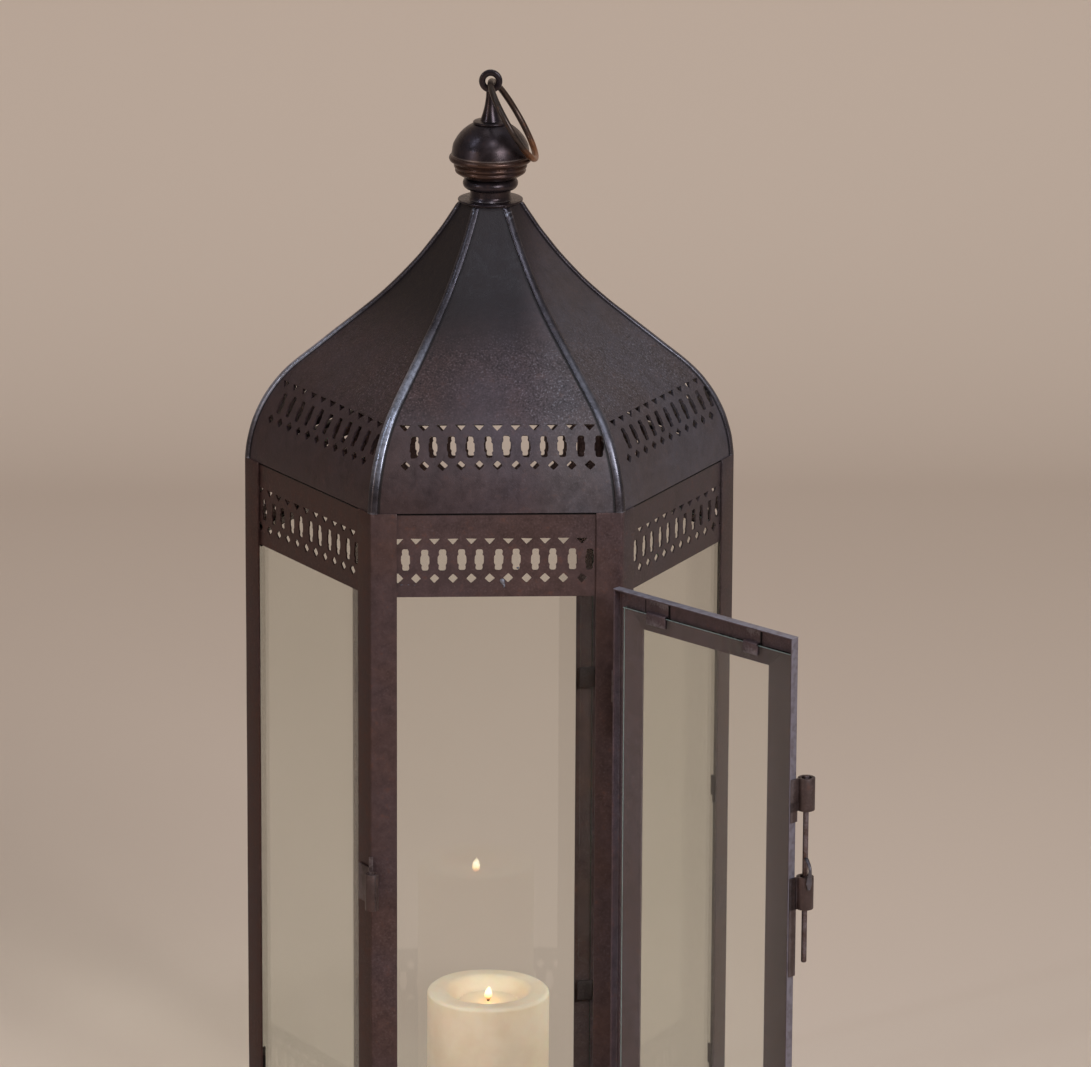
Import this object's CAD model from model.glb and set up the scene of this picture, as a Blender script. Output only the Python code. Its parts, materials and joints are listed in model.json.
import json
import math

import bmesh
import bpy
import numpy as np
from mathutils import Matrix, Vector
from mathutils.geometry import delaunay_2d_cdt


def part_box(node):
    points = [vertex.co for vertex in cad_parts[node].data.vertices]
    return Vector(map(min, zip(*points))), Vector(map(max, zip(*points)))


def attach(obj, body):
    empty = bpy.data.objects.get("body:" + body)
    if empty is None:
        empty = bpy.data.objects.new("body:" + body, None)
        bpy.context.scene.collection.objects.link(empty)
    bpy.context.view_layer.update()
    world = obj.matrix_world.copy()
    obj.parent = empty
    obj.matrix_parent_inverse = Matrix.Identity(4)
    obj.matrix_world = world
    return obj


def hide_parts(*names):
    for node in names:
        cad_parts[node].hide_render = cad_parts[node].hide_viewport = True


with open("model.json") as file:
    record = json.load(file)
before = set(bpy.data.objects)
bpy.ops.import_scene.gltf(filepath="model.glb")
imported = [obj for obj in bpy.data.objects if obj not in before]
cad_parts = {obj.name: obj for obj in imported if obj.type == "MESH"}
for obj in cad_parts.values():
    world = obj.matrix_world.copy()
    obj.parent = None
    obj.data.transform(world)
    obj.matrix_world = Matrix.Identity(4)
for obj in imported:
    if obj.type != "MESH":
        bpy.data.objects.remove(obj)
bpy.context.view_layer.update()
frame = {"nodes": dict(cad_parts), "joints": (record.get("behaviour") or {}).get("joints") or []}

mm = 0.001
faceTurn = math.radians(60)
halfTurn = math.radians(30)

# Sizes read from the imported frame, in metres
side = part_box("corner_post_2")[1].x
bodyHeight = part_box("corner_post_2")[1].z
apothem = side * math.cos(halfTurn)
bandIn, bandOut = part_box("lower_band_4")[0].y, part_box("lower_band_4")[1].y
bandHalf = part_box("lower_band_4")[1].x
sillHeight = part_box("lower_band_4")[1].z
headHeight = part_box("upper_band_4")[0].z
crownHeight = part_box("crown_plate")[0].z
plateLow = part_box("finial_plate")[0].z
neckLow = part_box("finial_neck")[0].z
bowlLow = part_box("finial_bowl")[0].z
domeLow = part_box("finial_dome")[0].z
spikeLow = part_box("finial_spike")[0].z
candleLow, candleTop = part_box("candle")[0].z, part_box("candle")[1].z
joints = {joint["name"]: joint for joint in frame["joints"]}
hingeAxis = np.array(joints["door_hinge"]["pos_m"])
openAngle = -math.radians(joints["door_hinge"]["range_deg"][0])
ringPivot = np.array(joints["ring_swing"]["pos_m"])
ringAxis = -np.array(joints["ring_swing"]["axis"])
ringAxis = ringAxis / np.linalg.norm(ringAxis)
print("frame read: side", round(side, 4), "body", round(bodyHeight, 4))


def putMesh(name, points, *faceArrays, sharpAngle=35):
    # Each face array is faces x corners; the winding is turned over if the volume comes out negative
    points = np.asarray(points, float)
    faceArrays = [np.asarray(faces, int) for faces in faceArrays if len(faces)]
    volume = 0.0
    for faces in faceArrays:
        for corner in range(1, faces.shape[1] - 1):
            a, b, c = points[faces[:, 0]], points[faces[:, corner]], points[faces[:, corner + 1]]
            volume += np.einsum("ij,ij->i", a, np.cross(b, c)).sum()
    if volume < 0:
        faceArrays = [faces[:, ::-1] for faces in faceArrays]
    loops = np.concatenate([faces.ravel() for faces in faceArrays])
    counts = np.concatenate([np.full(len(faces), faces.shape[1]) for faces in faceArrays])
    starts = np.concatenate([[0], np.cumsum(counts)[:-1]])
    mesh = bpy.data.meshes.new(name)
    mesh.vertices.add(len(points))
    mesh.vertices.foreach_set("co", points.astype(np.float32).ravel())
    mesh.loops.add(len(loops))
    mesh.loops.foreach_set("vertex_index", loops.astype(np.int32))
    mesh.polygons.add(len(starts))
    mesh.polygons.foreach_set("loop_start", starts.astype(np.int32))
    mesh.update(calc_edges=True)
    mesh.validate()
    mesh.shade_smooth()
    mesh.set_sharp_from_angle(angle=math.radians(sharpAngle))
    thing = bpy.data.objects.new(name, mesh)
    bpy.context.scene.collection.objects.link(thing)
    return thing


def tidyMesh(thing, sharpAngle=35):
    # Merges doubled points, such as a lathe's poles, and turns all faces outwards
    work = bmesh.new()
    work.from_mesh(thing.data)
    bmesh.ops.remove_doubles(work, verts=work.verts, dist=1e-6)
    bmesh.ops.recalc_face_normals(work, faces=work.faces)
    work.to_mesh(thing.data)
    work.free()
    thing.data.shade_smooth()
    thing.data.set_sharp_from_angle(angle=math.radians(sharpAngle))
    return thing


def gridQuads(rows, columns, closeRows=False, closeColumns=False, first=0):
    i = np.arange(rows if closeRows else rows - 1)[:, None]
    j = np.arange(columns if closeColumns else columns - 1)[None, :]
    iNext, jNext = (i + 1) % rows, (j + 1) % columns
    corners = [i * columns + j, i * columns + jNext, iNext * columns + jNext, iNext * columns + j]
    return np.stack(np.broadcast_arrays(*corners), -1).reshape(-1, 4) + first


def join(name, pieces, sharpAngle=35):
    # Several built objects become one mesh
    work = bmesh.new()
    for piece in pieces:
        work.from_mesh(piece.data)
    mesh = bpy.data.meshes.new(name)
    work.to_mesh(mesh)
    work.free()
    for piece in pieces:
        old = piece.data
        bpy.data.objects.remove(piece)
        bpy.data.meshes.remove(old)
    mesh.shade_smooth()
    mesh.set_sharp_from_angle(angle=math.radians(sharpAngle))
    thing = bpy.data.objects.new(name, mesh)
    bpy.context.scene.collection.objects.link(thing)
    return thing


def moved(thing, change):
    # Applies a function of points to a built mesh
    co = np.empty(len(thing.data.vertices) * 3, np.float32)
    thing.data.vertices.foreach_get("co", co)
    thing.data.vertices.foreach_set("co", change(co.reshape(-1, 3).astype(float)).astype(np.float32).ravel())
    thing.data.update()
    return thing


def turned(points, angle, centre=(0, 0)):
    # Points turned about a vertical line through centre
    points = np.asarray(points, float)
    x, y = points[..., 0] - centre[0], points[..., 1] - centre[1]
    c, s = math.cos(angle), math.sin(angle)
    return np.stack([centre[0] + x * c - y * s, centre[1] + x * s + y * c, points[..., 2]], -1)


def faceAngle(k):
    # Face 1 looks at the front, and the others follow round to the right
    return -math.pi / 2 + faceTurn * (k - 1)


def openDoor(points):
    return turned(points, openAngle, hingeAxis[:2])


def roundCorners(points, cut, steps=4, closed=True):
    # Each corner becomes a parabola between the points a cut length before it and after it
    points = np.asarray(points, float)
    before = np.roll(points, 1, 0) - points
    after = np.roll(points, -1, 0) - points
    lengthBefore = np.linalg.norm(before, axis=1)
    lengthAfter = np.linalg.norm(after, axis=1)
    cut = np.minimum(np.broadcast_to(cut, len(points)), 0.45 * np.minimum(lengthBefore, lengthAfter))
    if not closed:
        cut = cut * np.r_[0, np.ones(len(points) - 2), 0]
    a = points + before * (cut / lengthBefore)[:, None]
    b = points + after * (cut / lengthAfter)[:, None]
    t = np.linspace(0, 1, steps)[None, :, None]
    curve = (1 - t) ** 2 * a[:, None] + 2 * t * (1 - t) * points[:, None] + t ** 2 * b[:, None]
    curve = curve.reshape(-1, points.shape[1])
    gap = np.linalg.norm(curve - np.roll(curve, 1, 0), axis=1)
    keep = gap > 1e-9
    if not closed:
        keep[0] = True
    return curve[keep]


def arc(centre, radius, start, end, steps):
    angle = np.radians(np.linspace(start, end, steps))
    return np.stack([centre[0] + radius * np.cos(angle), centre[1] + radius * np.sin(angle)], -1)


def lathe(name, profile, steps=128, closed=False, low=0.0):
    # The profile's (radius, height) points, in mm, turned about the vertical axis
    profile = np.asarray(profile, float) * mm
    angle = np.linspace(0, 2 * math.pi, steps, endpoint=False)[None, :]
    radius, height = profile[:, :1], profile[:, 1:] + low
    grid = np.stack([radius * np.cos(angle), radius * np.sin(angle), height + 0 * angle], -1)
    thing = putMesh(name, grid.reshape(-1, 3), gridQuads(len(profile), steps, closed, True))
    return tidyMesh(thing)


def ribbon(path, thickness):
    # A strip's outline: the path moved to both sides by half its thickness, joined end to end
    path = np.asarray(path, float)
    way = np.gradient(path, axis=0)
    way /= np.linalg.norm(way, axis=1)[:, None]
    normal = np.stack([-way[:, 1], way[:, 0]], -1)
    half = thickness / 2
    return np.concatenate([path + half * normal, (path - half * normal)[::-1]])


def prism(name, outline, low, high, edge=0.25, rows=2, strip=False):
    # A flat outline in mm raised from low to high, its end edges rounded in two steps.
    # A strip's ends are faced with quads from side to side
    outline = np.asarray(outline, float)
    way = np.roll(outline, -1, 0) - np.roll(outline, 1, 0)
    way /= np.linalg.norm(way, axis=1)[:, None] + 1e-12
    area = np.sum(outline[:, 0] * np.roll(outline[:, 1], -1) - outline[:, 1] * np.roll(outline[:, 0], -1))
    inward = np.stack([-way[:, 1], way[:, 0]], -1) * np.sign(area)
    middle = np.linspace(low + edge, high - edge, rows)
    heights = np.r_[low, low + 0.3 * edge, middle, high - 0.3 * edge, high]
    inset = np.r_[edge, 0.3 * edge, np.zeros(rows), 0.3 * edge, edge]
    flat = outline[None] + inward[None] * inset[:, None, None]
    grid = np.concatenate([flat, np.broadcast_to(heights[:, None, None], flat.shape[:2] + (1,))], -1)
    count = len(outline)
    quads = gridQuads(len(heights), count, False, True)
    caps = np.arange(count)[None]
    if strip:
        i = np.arange(count // 2 - 1)
        caps = np.stack([i, i + 1, count - 2 - i, count - 1 - i], -1)
    caps = np.concatenate([caps[:, ::-1], caps + (len(heights) - 1) * count])
    return putMesh(name, grid.reshape(-1, 3) * mm, quads, caps)


def sweep(name, path, section, binormal, closed=False):
    # A section's (side, up) points, in mm, carried along a flat path whose plane has that binormal
    path = np.asarray(path, float)
    if closed:
        way = np.roll(path, -1, 0) - np.roll(path, 1, 0)
    else:
        way = np.gradient(path, axis=0)
    way /= np.linalg.norm(way, axis=1)[:, None]
    binormal = np.asarray(binormal, float) / np.linalg.norm(binormal)
    normal = np.cross(binormal, way)
    section = np.asarray(section, float)
    if section.ndim == 2:
        section = np.broadcast_to(section, (len(path),) + section.shape)
    grid = path[:, None] + section[..., :1] * normal[:, None] + section[..., 1:] * binormal
    count = section.shape[1]
    faces = [gridQuads(len(path), count, closed, True)]
    if not closed:
        last = (len(path) - 1) * count
        faces.append(np.stack([np.arange(count)[::-1], last + np.arange(count)]))
    return putMesh(name, grid.reshape(-1, 3) * mm, *faces)


def circleSection(radius, steps=20):
    angle = np.linspace(0, 2 * math.pi, steps, endpoint=False)
    return radius * np.stack([np.cos(angle), np.sin(angle)], -1)


def markEdges(thing):
    # Attribute edge: 1 where the surface turns outwards sharply, fading to 0 on flats and hollows
    mesh = thing.data
    count = len(mesh.vertices)
    co = np.empty(count * 3, np.float32)
    mesh.vertices.foreach_get("co", co)
    co = co.reshape(-1, 3).astype(float)
    normal = np.empty(count * 3, np.float32)
    mesh.vertices.foreach_get("normal", normal)
    normal = normal.reshape(-1, 3).astype(float)
    edges = np.empty(len(mesh.edges) * 2, np.int32)
    mesh.edges.foreach_get("vertices", edges)
    edges = edges.reshape(-1, 2)
    way = co[edges[:, 1]] - co[edges[:, 0]]
    length = np.linalg.norm(way, axis=1) + 1e-9
    lean = -np.einsum("ij,ij->i", way, normal[edges[:, 0]]) / length
    back = np.einsum("ij,ij->i", way, normal[edges[:, 1]]) / length
    total, share = np.zeros(count), np.zeros(count)
    np.add.at(total, edges[:, 0], lean)
    np.add.at(total, edges[:, 1], back)
    np.add.at(share, edges.ravel(), 1)
    value = np.clip(total / np.maximum(share, 1) * 2.6, 0, 1)
    layer = mesh.attributes.new("edge", "FLOAT", "POINT")
    layer.data.foreach_set("value", value.astype(np.float32))
    return thing


def dress(thing, body, material, slotName, *nodes):
    # Gives a finished piece its material, its body, its record slot and the nodes it stands for
    materials = material if isinstance(material, (list, tuple)) else [material]
    for entry in materials:
        thing.data.materials.append(entry)
    if "edge" not in thing.data.attributes:
        markEdges(thing)
    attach(thing, body)
    if nodes:
        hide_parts(*nodes)
    return thing


def newGroup(name, inputs, outputs):
    group = bpy.data.node_groups.new(name, "ShaderNodeTree")
    for title, kind, default in inputs:
        socket = group.interface.new_socket(title, in_out="INPUT", socket_type=kind)
        socket.default_value = default
    for title, kind in outputs:
        group.interface.new_socket(title, in_out="OUTPUT", socket_type=kind)
    source = group.nodes.new("NodeGroupInput")
    sink = group.nodes.new("NodeGroupOutput")
    return group, source, sink


def addNode(tree, kind, values=None, **settings):
    node = tree.nodes.new(kind)
    for key, value in settings.items():
        setattr(node, key, value)
    for key, value in (values or {}).items():
        if isinstance(value, bpy.types.NodeSocket):
            tree.links.new(value, node.inputs[key])
        else:
            node.inputs[key].default_value = value
    return node


def noise(tree, vector, scale, detail=4.0, roughness=0.55, distortion=0.0):
    node = addNode(tree, "ShaderNodeTexNoise", {"Scale": scale, "Detail": detail,
                                                "Roughness": roughness, "Distortion": distortion})
    tree.links.new(vector, node.inputs["Vector"])
    return node.outputs["Fac"]


def ramp(tree, value, low, high, lowTo=0.0, highTo=1.0):
    node = addNode(tree, "ShaderNodeMapRange", {"Value": value, "From Min": low, "From Max": high,
                                                "To Min": lowTo, "To Max": highTo})
    node.interpolation_type = "SMOOTHSTEP"
    return node.outputs["Result"]


def calc(tree, operation, first, second=0.0, third=None):
    values = {0: first, 1: second}
    if third is not None:
        values[2] = third
    node = addNode(tree, "ShaderNodeMath", values, operation=operation)
    return node.outputs["Value"]


def times(tree, first, second):
    return calc(tree, "MULTIPLY", first, second)


def mixColour(tree, factor, first, second, blend="MIX"):
    node = addNode(tree, "ShaderNodeMix", {"Factor": factor}, data_type="RGBA", blend_type=blend)
    for socket, value in ((node.inputs[6], first), (node.inputs[7], second)):
        if isinstance(value, bpy.types.NodeSocket):
            tree.links.new(value, socket)
        else:
            socket.default_value = value
    return node.outputs[2]


def bronzeGroup():
    # Old lacquered bronze: warm clouds, pebbled patches, rust flecks, rubbed edges, dirt in seams and soot
    group, source, sink = newGroup(
        "bronzePatina",
        [("Base", "NodeSocketColor", (0.05, 0.04, 0.04, 1)),
         ("Warm", "NodeSocketColor", (0.07, 0.035, 0.025, 1)),
         ("Worn", "NodeSocketColor", (0.16, 0.14, 0.15, 1)),
         ("Rust", "NodeSocketColor", (0.14, 0.05, 0.02, 1)),
         ("Warm Amount", "NodeSocketFloat", 0.5),
         ("Worn Amount", "NodeSocketFloat", 0.5),
         ("Rust Amount", "NodeSocketFloat", 0.3),
         ("Pebble", "NodeSocketFloat", 0.5),
         ("Rough", "NodeSocketFloat", 0.43),
         ("Edge", "NodeSocketFloat", 0.0),
         ("Seam", "NodeSocketFloat", 0.0),
         ("Soot", "NodeSocketFloat", 0.0),
         ("Vector", "NodeSocketVector", (0, 0, 0))],
        [("Color", "NodeSocketColor"), ("Roughness", "NodeSocketFloat"), ("Height", "NodeSocketFloat")])
    where = source.outputs["Vector"]
    cloud = noise(group, where, 15, 3, 0.6)
    patch = noise(group, where, 9, 2, 0.5)
    mottle = noise(group, where, 130, 4, 0.65, 0.3)
    pebble = noise(group, where, 820, 2.5, 0.6)
    fine = noise(group, where, 1900, 2, 0.5)
    fleck = noise(group, where, 300, 3, 0.6)
    pebbled = times(group, ramp(group, patch, 0.42, 0.62, 0.35, 1.0), source.outputs["Pebble"])
    warmMask = times(group, ramp(group, cloud, 0.38, 0.62), source.outputs["Warm Amount"])
    colour = mixColour(group, warmMask, source.outputs["Base"], source.outputs["Warm"])
    spots = times(group, calc(group, "MULTIPLY_ADD", pebble, 3.0, -1.5), pebbled)
    shade = calc(group, "ADD", calc(group, "MULTIPLY_ADD", mottle, 1.1, 0.45), spots)
    shade = calc(group, "MAXIMUM", shade, 0.25)
    shadeColour = addNode(group, "ShaderNodeCombineColor", {0: shade, 1: shade, 2: shade}).outputs[0]
    colour = mixColour(group, 1.0, colour, shadeColour, "MULTIPLY")
    flecks = calc(group, "MULTIPLY_ADD", mottle, 0.35, times(group, fleck, 0.65))
    rustMask = times(group, ramp(group, flecks, 0.55, 0.66), source.outputs["Rust Amount"])
    colour = mixColour(group, rustMask, colour, source.outputs["Rust"])
    rough = calc(group, "ADD", source.outputs["Edge"], calc(group, "MULTIPLY_ADD", pebble, 0.8, -0.4))
    rough = calc(group, "ADD", rough, calc(group, "MULTIPLY_ADD", mottle, 1.0, -0.5))
    wear = times(group, ramp(group, rough, 0.35, 0.9), source.outputs["Worn Amount"])
    glint = times(group, ramp(group, pebble, 0.58, 0.70), times(group, pebbled, 0.35))
    wear = calc(group, "MAXIMUM", wear, glint)
    colour = mixColour(group, wear, colour, source.outputs["Worn"])
    dirt = times(group, source.outputs["Seam"], calc(group, "MULTIPLY_ADD", mottle, 0.5, 0.6))
    colour = mixColour(group, dirt, colour, (0.006, 0.005, 0.006, 1))
    colour = mixColour(group, source.outputs["Soot"], colour, (0.013, 0.010, 0.013, 1))
    roughness = calc(group, "ADD", source.outputs["Rough"], ramp(group, mottle, 0.3, 0.7, -0.07, 0.07))
    roughness = calc(group, "MULTIPLY_ADD", wear, -0.06, roughness)
    grain = calc(group, "ADD", times(group, fine, 0.18), times(group, mottle, 0.5))
    height = calc(group, "ADD", times(group, pebble, pebbled), grain)
    group.links.new(colour, sink.inputs["Color"])
    group.links.new(roughness, sink.inputs["Roughness"])
    group.links.new(height, sink.inputs["Height"])
    return group


bronzePatina = bronzeGroup()


def blankMaterial(name):
    material = bpy.data.materials.new(name)
    material.use_nodes = True
    tree = material.node_tree
    shader = next(node for node in tree.nodes if node.type == "BSDF_PRINCIPLED")
    where = tree.nodes.new("ShaderNodeTexCoord").outputs["Object"]
    return material, tree, shader, where


def bronzeMaterial(name, base, warm, worn, rust, warmAmount=0.5, wornAmount=0.5, rustAmount=0.3,
                   pebble=0.5, rough=0.43, metallic=0.35, specular=0.35, bump=0.5, depth=0.0004, finish=None):
    # finish takes the tree, the place, the patina node and its colour, and gives the colour to use
    material, tree, shader, where = blankMaterial(name)
    patina = addNode(tree, "ShaderNodeGroup", node_tree=bronzePatina)
    for title, value in (("Base", base), ("Warm", warm), ("Worn", worn), ("Rust", rust)):
        patina.inputs[title].default_value = (*value, 1)
    for title, value in (("Warm Amount", warmAmount), ("Worn Amount", wornAmount),
                         ("Rust Amount", rustAmount), ("Pebble", pebble), ("Rough", rough)):
        patina.inputs[title].default_value = value
    mark = addNode(tree, "ShaderNodeAttribute", attribute_name="edge")
    tree.links.new(mark.outputs["Fac"], patina.inputs["Edge"])
    tree.links.new(where, patina.inputs["Vector"])
    colour = patina.outputs["Color"]
    if finish:
        colour = finish(tree, where, patina, colour)
    tree.links.new(colour, shader.inputs["Base Color"])
    tree.links.new(patina.outputs["Roughness"], shader.inputs["Roughness"])
    shader.inputs["Metallic"].default_value = metallic
    shader.inputs["Specular IOR Level"].default_value = specular
    relief = addNode(tree, "ShaderNodeBump", {"Strength": bump, "Distance": depth,
                                              "Height": patina.outputs["Height"]})
    tree.links.new(relief.outputs["Normal"], shader.inputs["Normal"])
    return material


def partOf(tree, where, axis="Z"):
    return addNode(tree, "ShaderNodeSeparateXYZ", {"Vector": where}).outputs[axis]


def between(tree, value, low, high, soft):
    # 1 between low and high, fading to 0 outside them
    rise = ramp(tree, value, low - soft, low)
    return times(tree, rise, ramp(tree, value, high, high + soft, 1.0, 0.0))


# Heights over the body's top and places across the lantern, in metres; joint is in millimetres
weather = {
    "soot": (0.066, 0.112), "sootMost": 0.9, "sootEnd": (0.012, 0.035), "sootRight": 0.25,
    "pebbles": (0.058, 0.082), "pebbleFade": 0.018, "joint": (0.7, 1.6),
    "left": (-0.035, 0.0), "leftTint": (0.76, 0.66, 0.60, 1),
    "right": (0.012, 0.045), "rightTint": (1.22, 1.45, 1.42, 1),
    "shoulder": (0.040, 0.070), "shoulderFade": 0.030, "shoulderSide": (-0.02, 0.05),
    "shoulderTint": (0.40, 0.42, 0.52, 1), "underCrown": (0.007, 0.001), "crownTint": (0.34, 0.36, 0.44, 1),
    "bodyLeft": (-0.0760, -0.0745), "bodyLeftTint": (0.74, 0.62, 0.55, 1),
    "bodyRight": (0.0755, 0.0770), "bodyRightTint": (0.90, 1.06, 1.10, 1),
    "eaveDirt": 0.0012, "eaveFade": 0.0004,
}


def sideColours(tree, across, colour, left, leftTint, right, rightTint):
    # Multiplies a colour by one tint left of the left range and by the other right of the right one
    tint = mixColour(tree, ramp(tree, across, *left), leftTint, (1, 1, 1, 1))
    tint = mixColour(tree, ramp(tree, across, *right), tint, rightTint)
    return mixColour(tree, 1.0, colour, tint, "MULTIPLY")


def roofWeather(tree, where, patina, colour):
    # Soot under the crown, pebbles half way down, dark joints along the ribs, warm left and cool right sides
    w = weather
    height, across = partOf(tree, where), partOf(tree, where, "X")
    soot = ramp(tree, height, *[bodyHeight + up for up in w["soot"]], 0.0, w["sootMost"])
    sootSide = ramp(tree, across, *w["sootEnd"], 1.0, w["sootRight"])
    tree.links.new(times(tree, soot, sootSide), patina.inputs["Soot"])
    pebbles = between(tree, height, *[bodyHeight + up for up in w["pebbles"]], w["pebbleFade"])
    tree.links.new(calc(tree, "MULTIPLY_ADD", pebbles, 0.75, 0.2), patina.inputs["Pebble"])
    away = addNode(tree, "ShaderNodeAttribute", attribute_name="fromRib").outputs["Fac"]
    tree.links.new(ramp(tree, away, *w["joint"], 1.0, 0.0), patina.inputs["Seam"])
    return sideColours(tree, across, colour, w["left"], w["leftTint"], w["right"], w["rightTint"])


def ribRub(tree, where, patina, colour):
    # The ribs are rubbed pale over the shoulder, and bare specks show where they run under the crown
    w = weather
    height, across = partOf(tree, where), partOf(tree, where, "X")
    speck = noise(tree, where, 420, 2, 0.5)
    near = ramp(tree, height, *[crownHeight - down for down in w["underCrown"]])
    mask = times(tree, near, ramp(tree, speck, 0.56, 0.64))
    colour = mixColour(tree, mask, colour, w["crownTint"])
    shoulder = between(tree, height, *[bodyHeight + up for up in w["shoulder"]], w["shoulderFade"])
    shoulder = times(tree, shoulder, ramp(tree, across, *w["shoulderSide"], 0.85, 0.25))
    rub = times(tree, shoulder, ramp(tree, speck, 0.35, 0.6, 0.6, 1.0))
    return mixColour(tree, rub, colour, w["shoulderTint"])


def sideTint(tree, where, patina, colour):
    # The faces left of the front have gone browner and darker, those to its right greyer
    w = weather
    return sideColours(tree, partOf(tree, where, "X"), colour,
                       w["bodyLeft"], w["bodyLeftTint"], w["bodyRight"], w["bodyRightTint"])


def bandDirt(tree, where, patina, colour):
    # Dirt lies along the upper bands' top edge, under the eave
    low = bodyHeight - weather["eaveDirt"]
    top = between(tree, partOf(tree, where), low, bodyHeight, weather["eaveFade"])
    tree.links.new(top, patina.inputs["Seam"])
    return sideTint(tree, where, patina, colour)


def ringRust(tree, where, patina, colour):
    # The ring turns to orange rust towards its lower end
    cloud = noise(tree, where, 220, 3, 0.6)
    low = calc(tree, "MULTIPLY_ADD", cloud, 0.012, partOf(tree, where))
    mask = ramp(tree, low, ringPivot[2] - 0.040, ringPivot[2] - 0.026, 0.85, 0.0)
    return mixColour(tree, mask, colour, (0.30, 0.115, 0.042, 1))


def copperBand(tree, where, patina, colour):
    # The finial's bowl and bead are rubbed to a coppery brown between dark grooves
    height = partOf(tree, where)
    low = ramp(tree, height, bowlLow - 0.001, bowlLow + 0.003)
    high = ramp(tree, height, domeLow + 0.0035, domeLow + 0.0055, 1.0, 0.0)
    cloud = noise(tree, where, 60, 3, 0.6)
    mask = times(tree, times(tree, low, high), ramp(tree, cloud, 0.3, 0.65, 0.25, 0.85))
    colour = mixColour(tree, mask, colour, (0.085, 0.044, 0.030, 1))
    line = times(tree, ramp(tree, height, domeLow + 0.0040, domeLow + 0.0043),
                 ramp(tree, height, domeLow + 0.0046, domeLow + 0.0050, 1.0, 0.0))
    return mixColour(tree, times(tree, line, 0.6), colour, (0.24, 0.20, 0.19, 1))


bronze = {
    "base": (0.076, 0.048, 0.050),
    "warm": (0.086, 0.046, 0.038),
    "worn": (0.26, 0.21, 0.22),
    "rust": (0.17, 0.055, 0.024),
}
cool = {
    "base": (0.066, 0.049, 0.060),
    "warm": (0.072, 0.044, 0.044),
    "worn": (0.26, 0.25, 0.30),
    "rust": (0.13, 0.052, 0.030),
}
postPaint = bronzeMaterial("postBronze", **bronze, warmAmount=0.6, wornAmount=0.5, rustAmount=0.2,
                           pebble=0.3, metallic=0.2, specular=0.2, finish=sideTint)
bandPaint = bronzeMaterial("bandBronze", **bronze, warmAmount=0.4, wornAmount=0.35, rustAmount=0.2,
                           pebble=0.4, metallic=0.2, specular=0.25, finish=bandDirt)
roofPaint = bronzeMaterial("roofBronze", **cool, warmAmount=0.5, wornAmount=0.4, rustAmount=0.15,
                           pebble=0.8, metallic=0.25, specular=0.35, bump=1.0, finish=roofWeather)
ribPaint = bronzeMaterial("ribBronze", (0.070, 0.064, 0.078), (0.050, 0.040, 0.045), (0.34, 0.35, 0.43),
                          cool["rust"], warmAmount=0.5, wornAmount=0.5, rustAmount=0.1,
                          pebble=0.4, rough=0.33, metallic=0.8, bump=0.35, finish=ribRub)
finialPaint = bronzeMaterial("finialBronze", (0.034, 0.027, 0.034), (0.050, 0.029, 0.024), (0.22, 0.19, 0.19),
                             (0.13, 0.055, 0.030), warmAmount=0.5, wornAmount=0.45, rustAmount=0.15,
                             pebble=0.2, rough=0.30, metallic=0.7, bump=0.2, finish=copperBand)
hingePaint = bronzeMaterial("hingeBronze", (0.072, 0.048, 0.046), bronze["warm"], (0.20, 0.17, 0.18),
                            bronze["rust"], warmAmount=0.4, wornAmount=0.45, rustAmount=0.2, pebble=0.3)
boltPaint = bronzeMaterial("boltBronze", (0.095, 0.058, 0.050), (0.12, 0.066, 0.052), (0.24, 0.22, 0.26),
                           bronze["rust"], warmAmount=0.6, wornAmount=0.6, rustAmount=0.2,
                           pebble=0.2, metallic=0.6)
handlePaint = bronzeMaterial("handleSteel", (0.13, 0.13, 0.16), (0.09, 0.065, 0.065), (0.34, 0.36, 0.44),
                             bronze["rust"], warmAmount=0.4, wornAmount=0.6, rustAmount=0.1,
                             pebble=0.2, rough=0.32, metallic=0.7)
solderPaint = bronzeMaterial("solderGrey", (0.20, 0.21, 0.26), (0.14, 0.11, 0.11), (0.45, 0.48, 0.60),
                             bronze["rust"], warmAmount=0.3, wornAmount=0.9, rustAmount=0.1,
                             pebble=0.1, metallic=0.6)
clipPaint = bronzeMaterial("clipBronze", (0.025, 0.017, 0.015), (0.028, 0.016, 0.012), (0.08, 0.06, 0.06),
                           bronze["rust"], warmAmount=0.5, wornAmount=0.3, rustAmount=0.1,
                           pebble=0.3, metallic=0.1, specular=0.2)
ringPaint = bronzeMaterial("ringBronze", (0.042, 0.032, 0.029), (0.068, 0.042, 0.032), (0.28, 0.25, 0.24),
                           (0.17, 0.065, 0.030), warmAmount=0.8, wornAmount=0.5, rustAmount=0.4,
                           pebble=0.2, rough=0.33, metallic=0.6, finish=ringRust)
steelPaint = bronzeMaterial("studSteel", (0.30, 0.29, 0.28), (0.24, 0.20, 0.16), (0.5, 0.5, 0.5),
                            (0.2, 0.09, 0.04), warmAmount=0.3, wornAmount=0.3, rustAmount=0.4, metallic=0.9)
print("bronze finishes made")


def mixShaders(tree, factor, first, second):
    # The material's surface goes from the first shader to the second
    both = addNode(tree, "ShaderNodeMixShader", {0: factor, 1: first.outputs[0], 2: second.outputs[0]})
    output = next(node for node in tree.nodes if node.type == "OUTPUT_MATERIAL")
    tree.links.new(both.outputs[0], output.inputs["Surface"])


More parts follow.
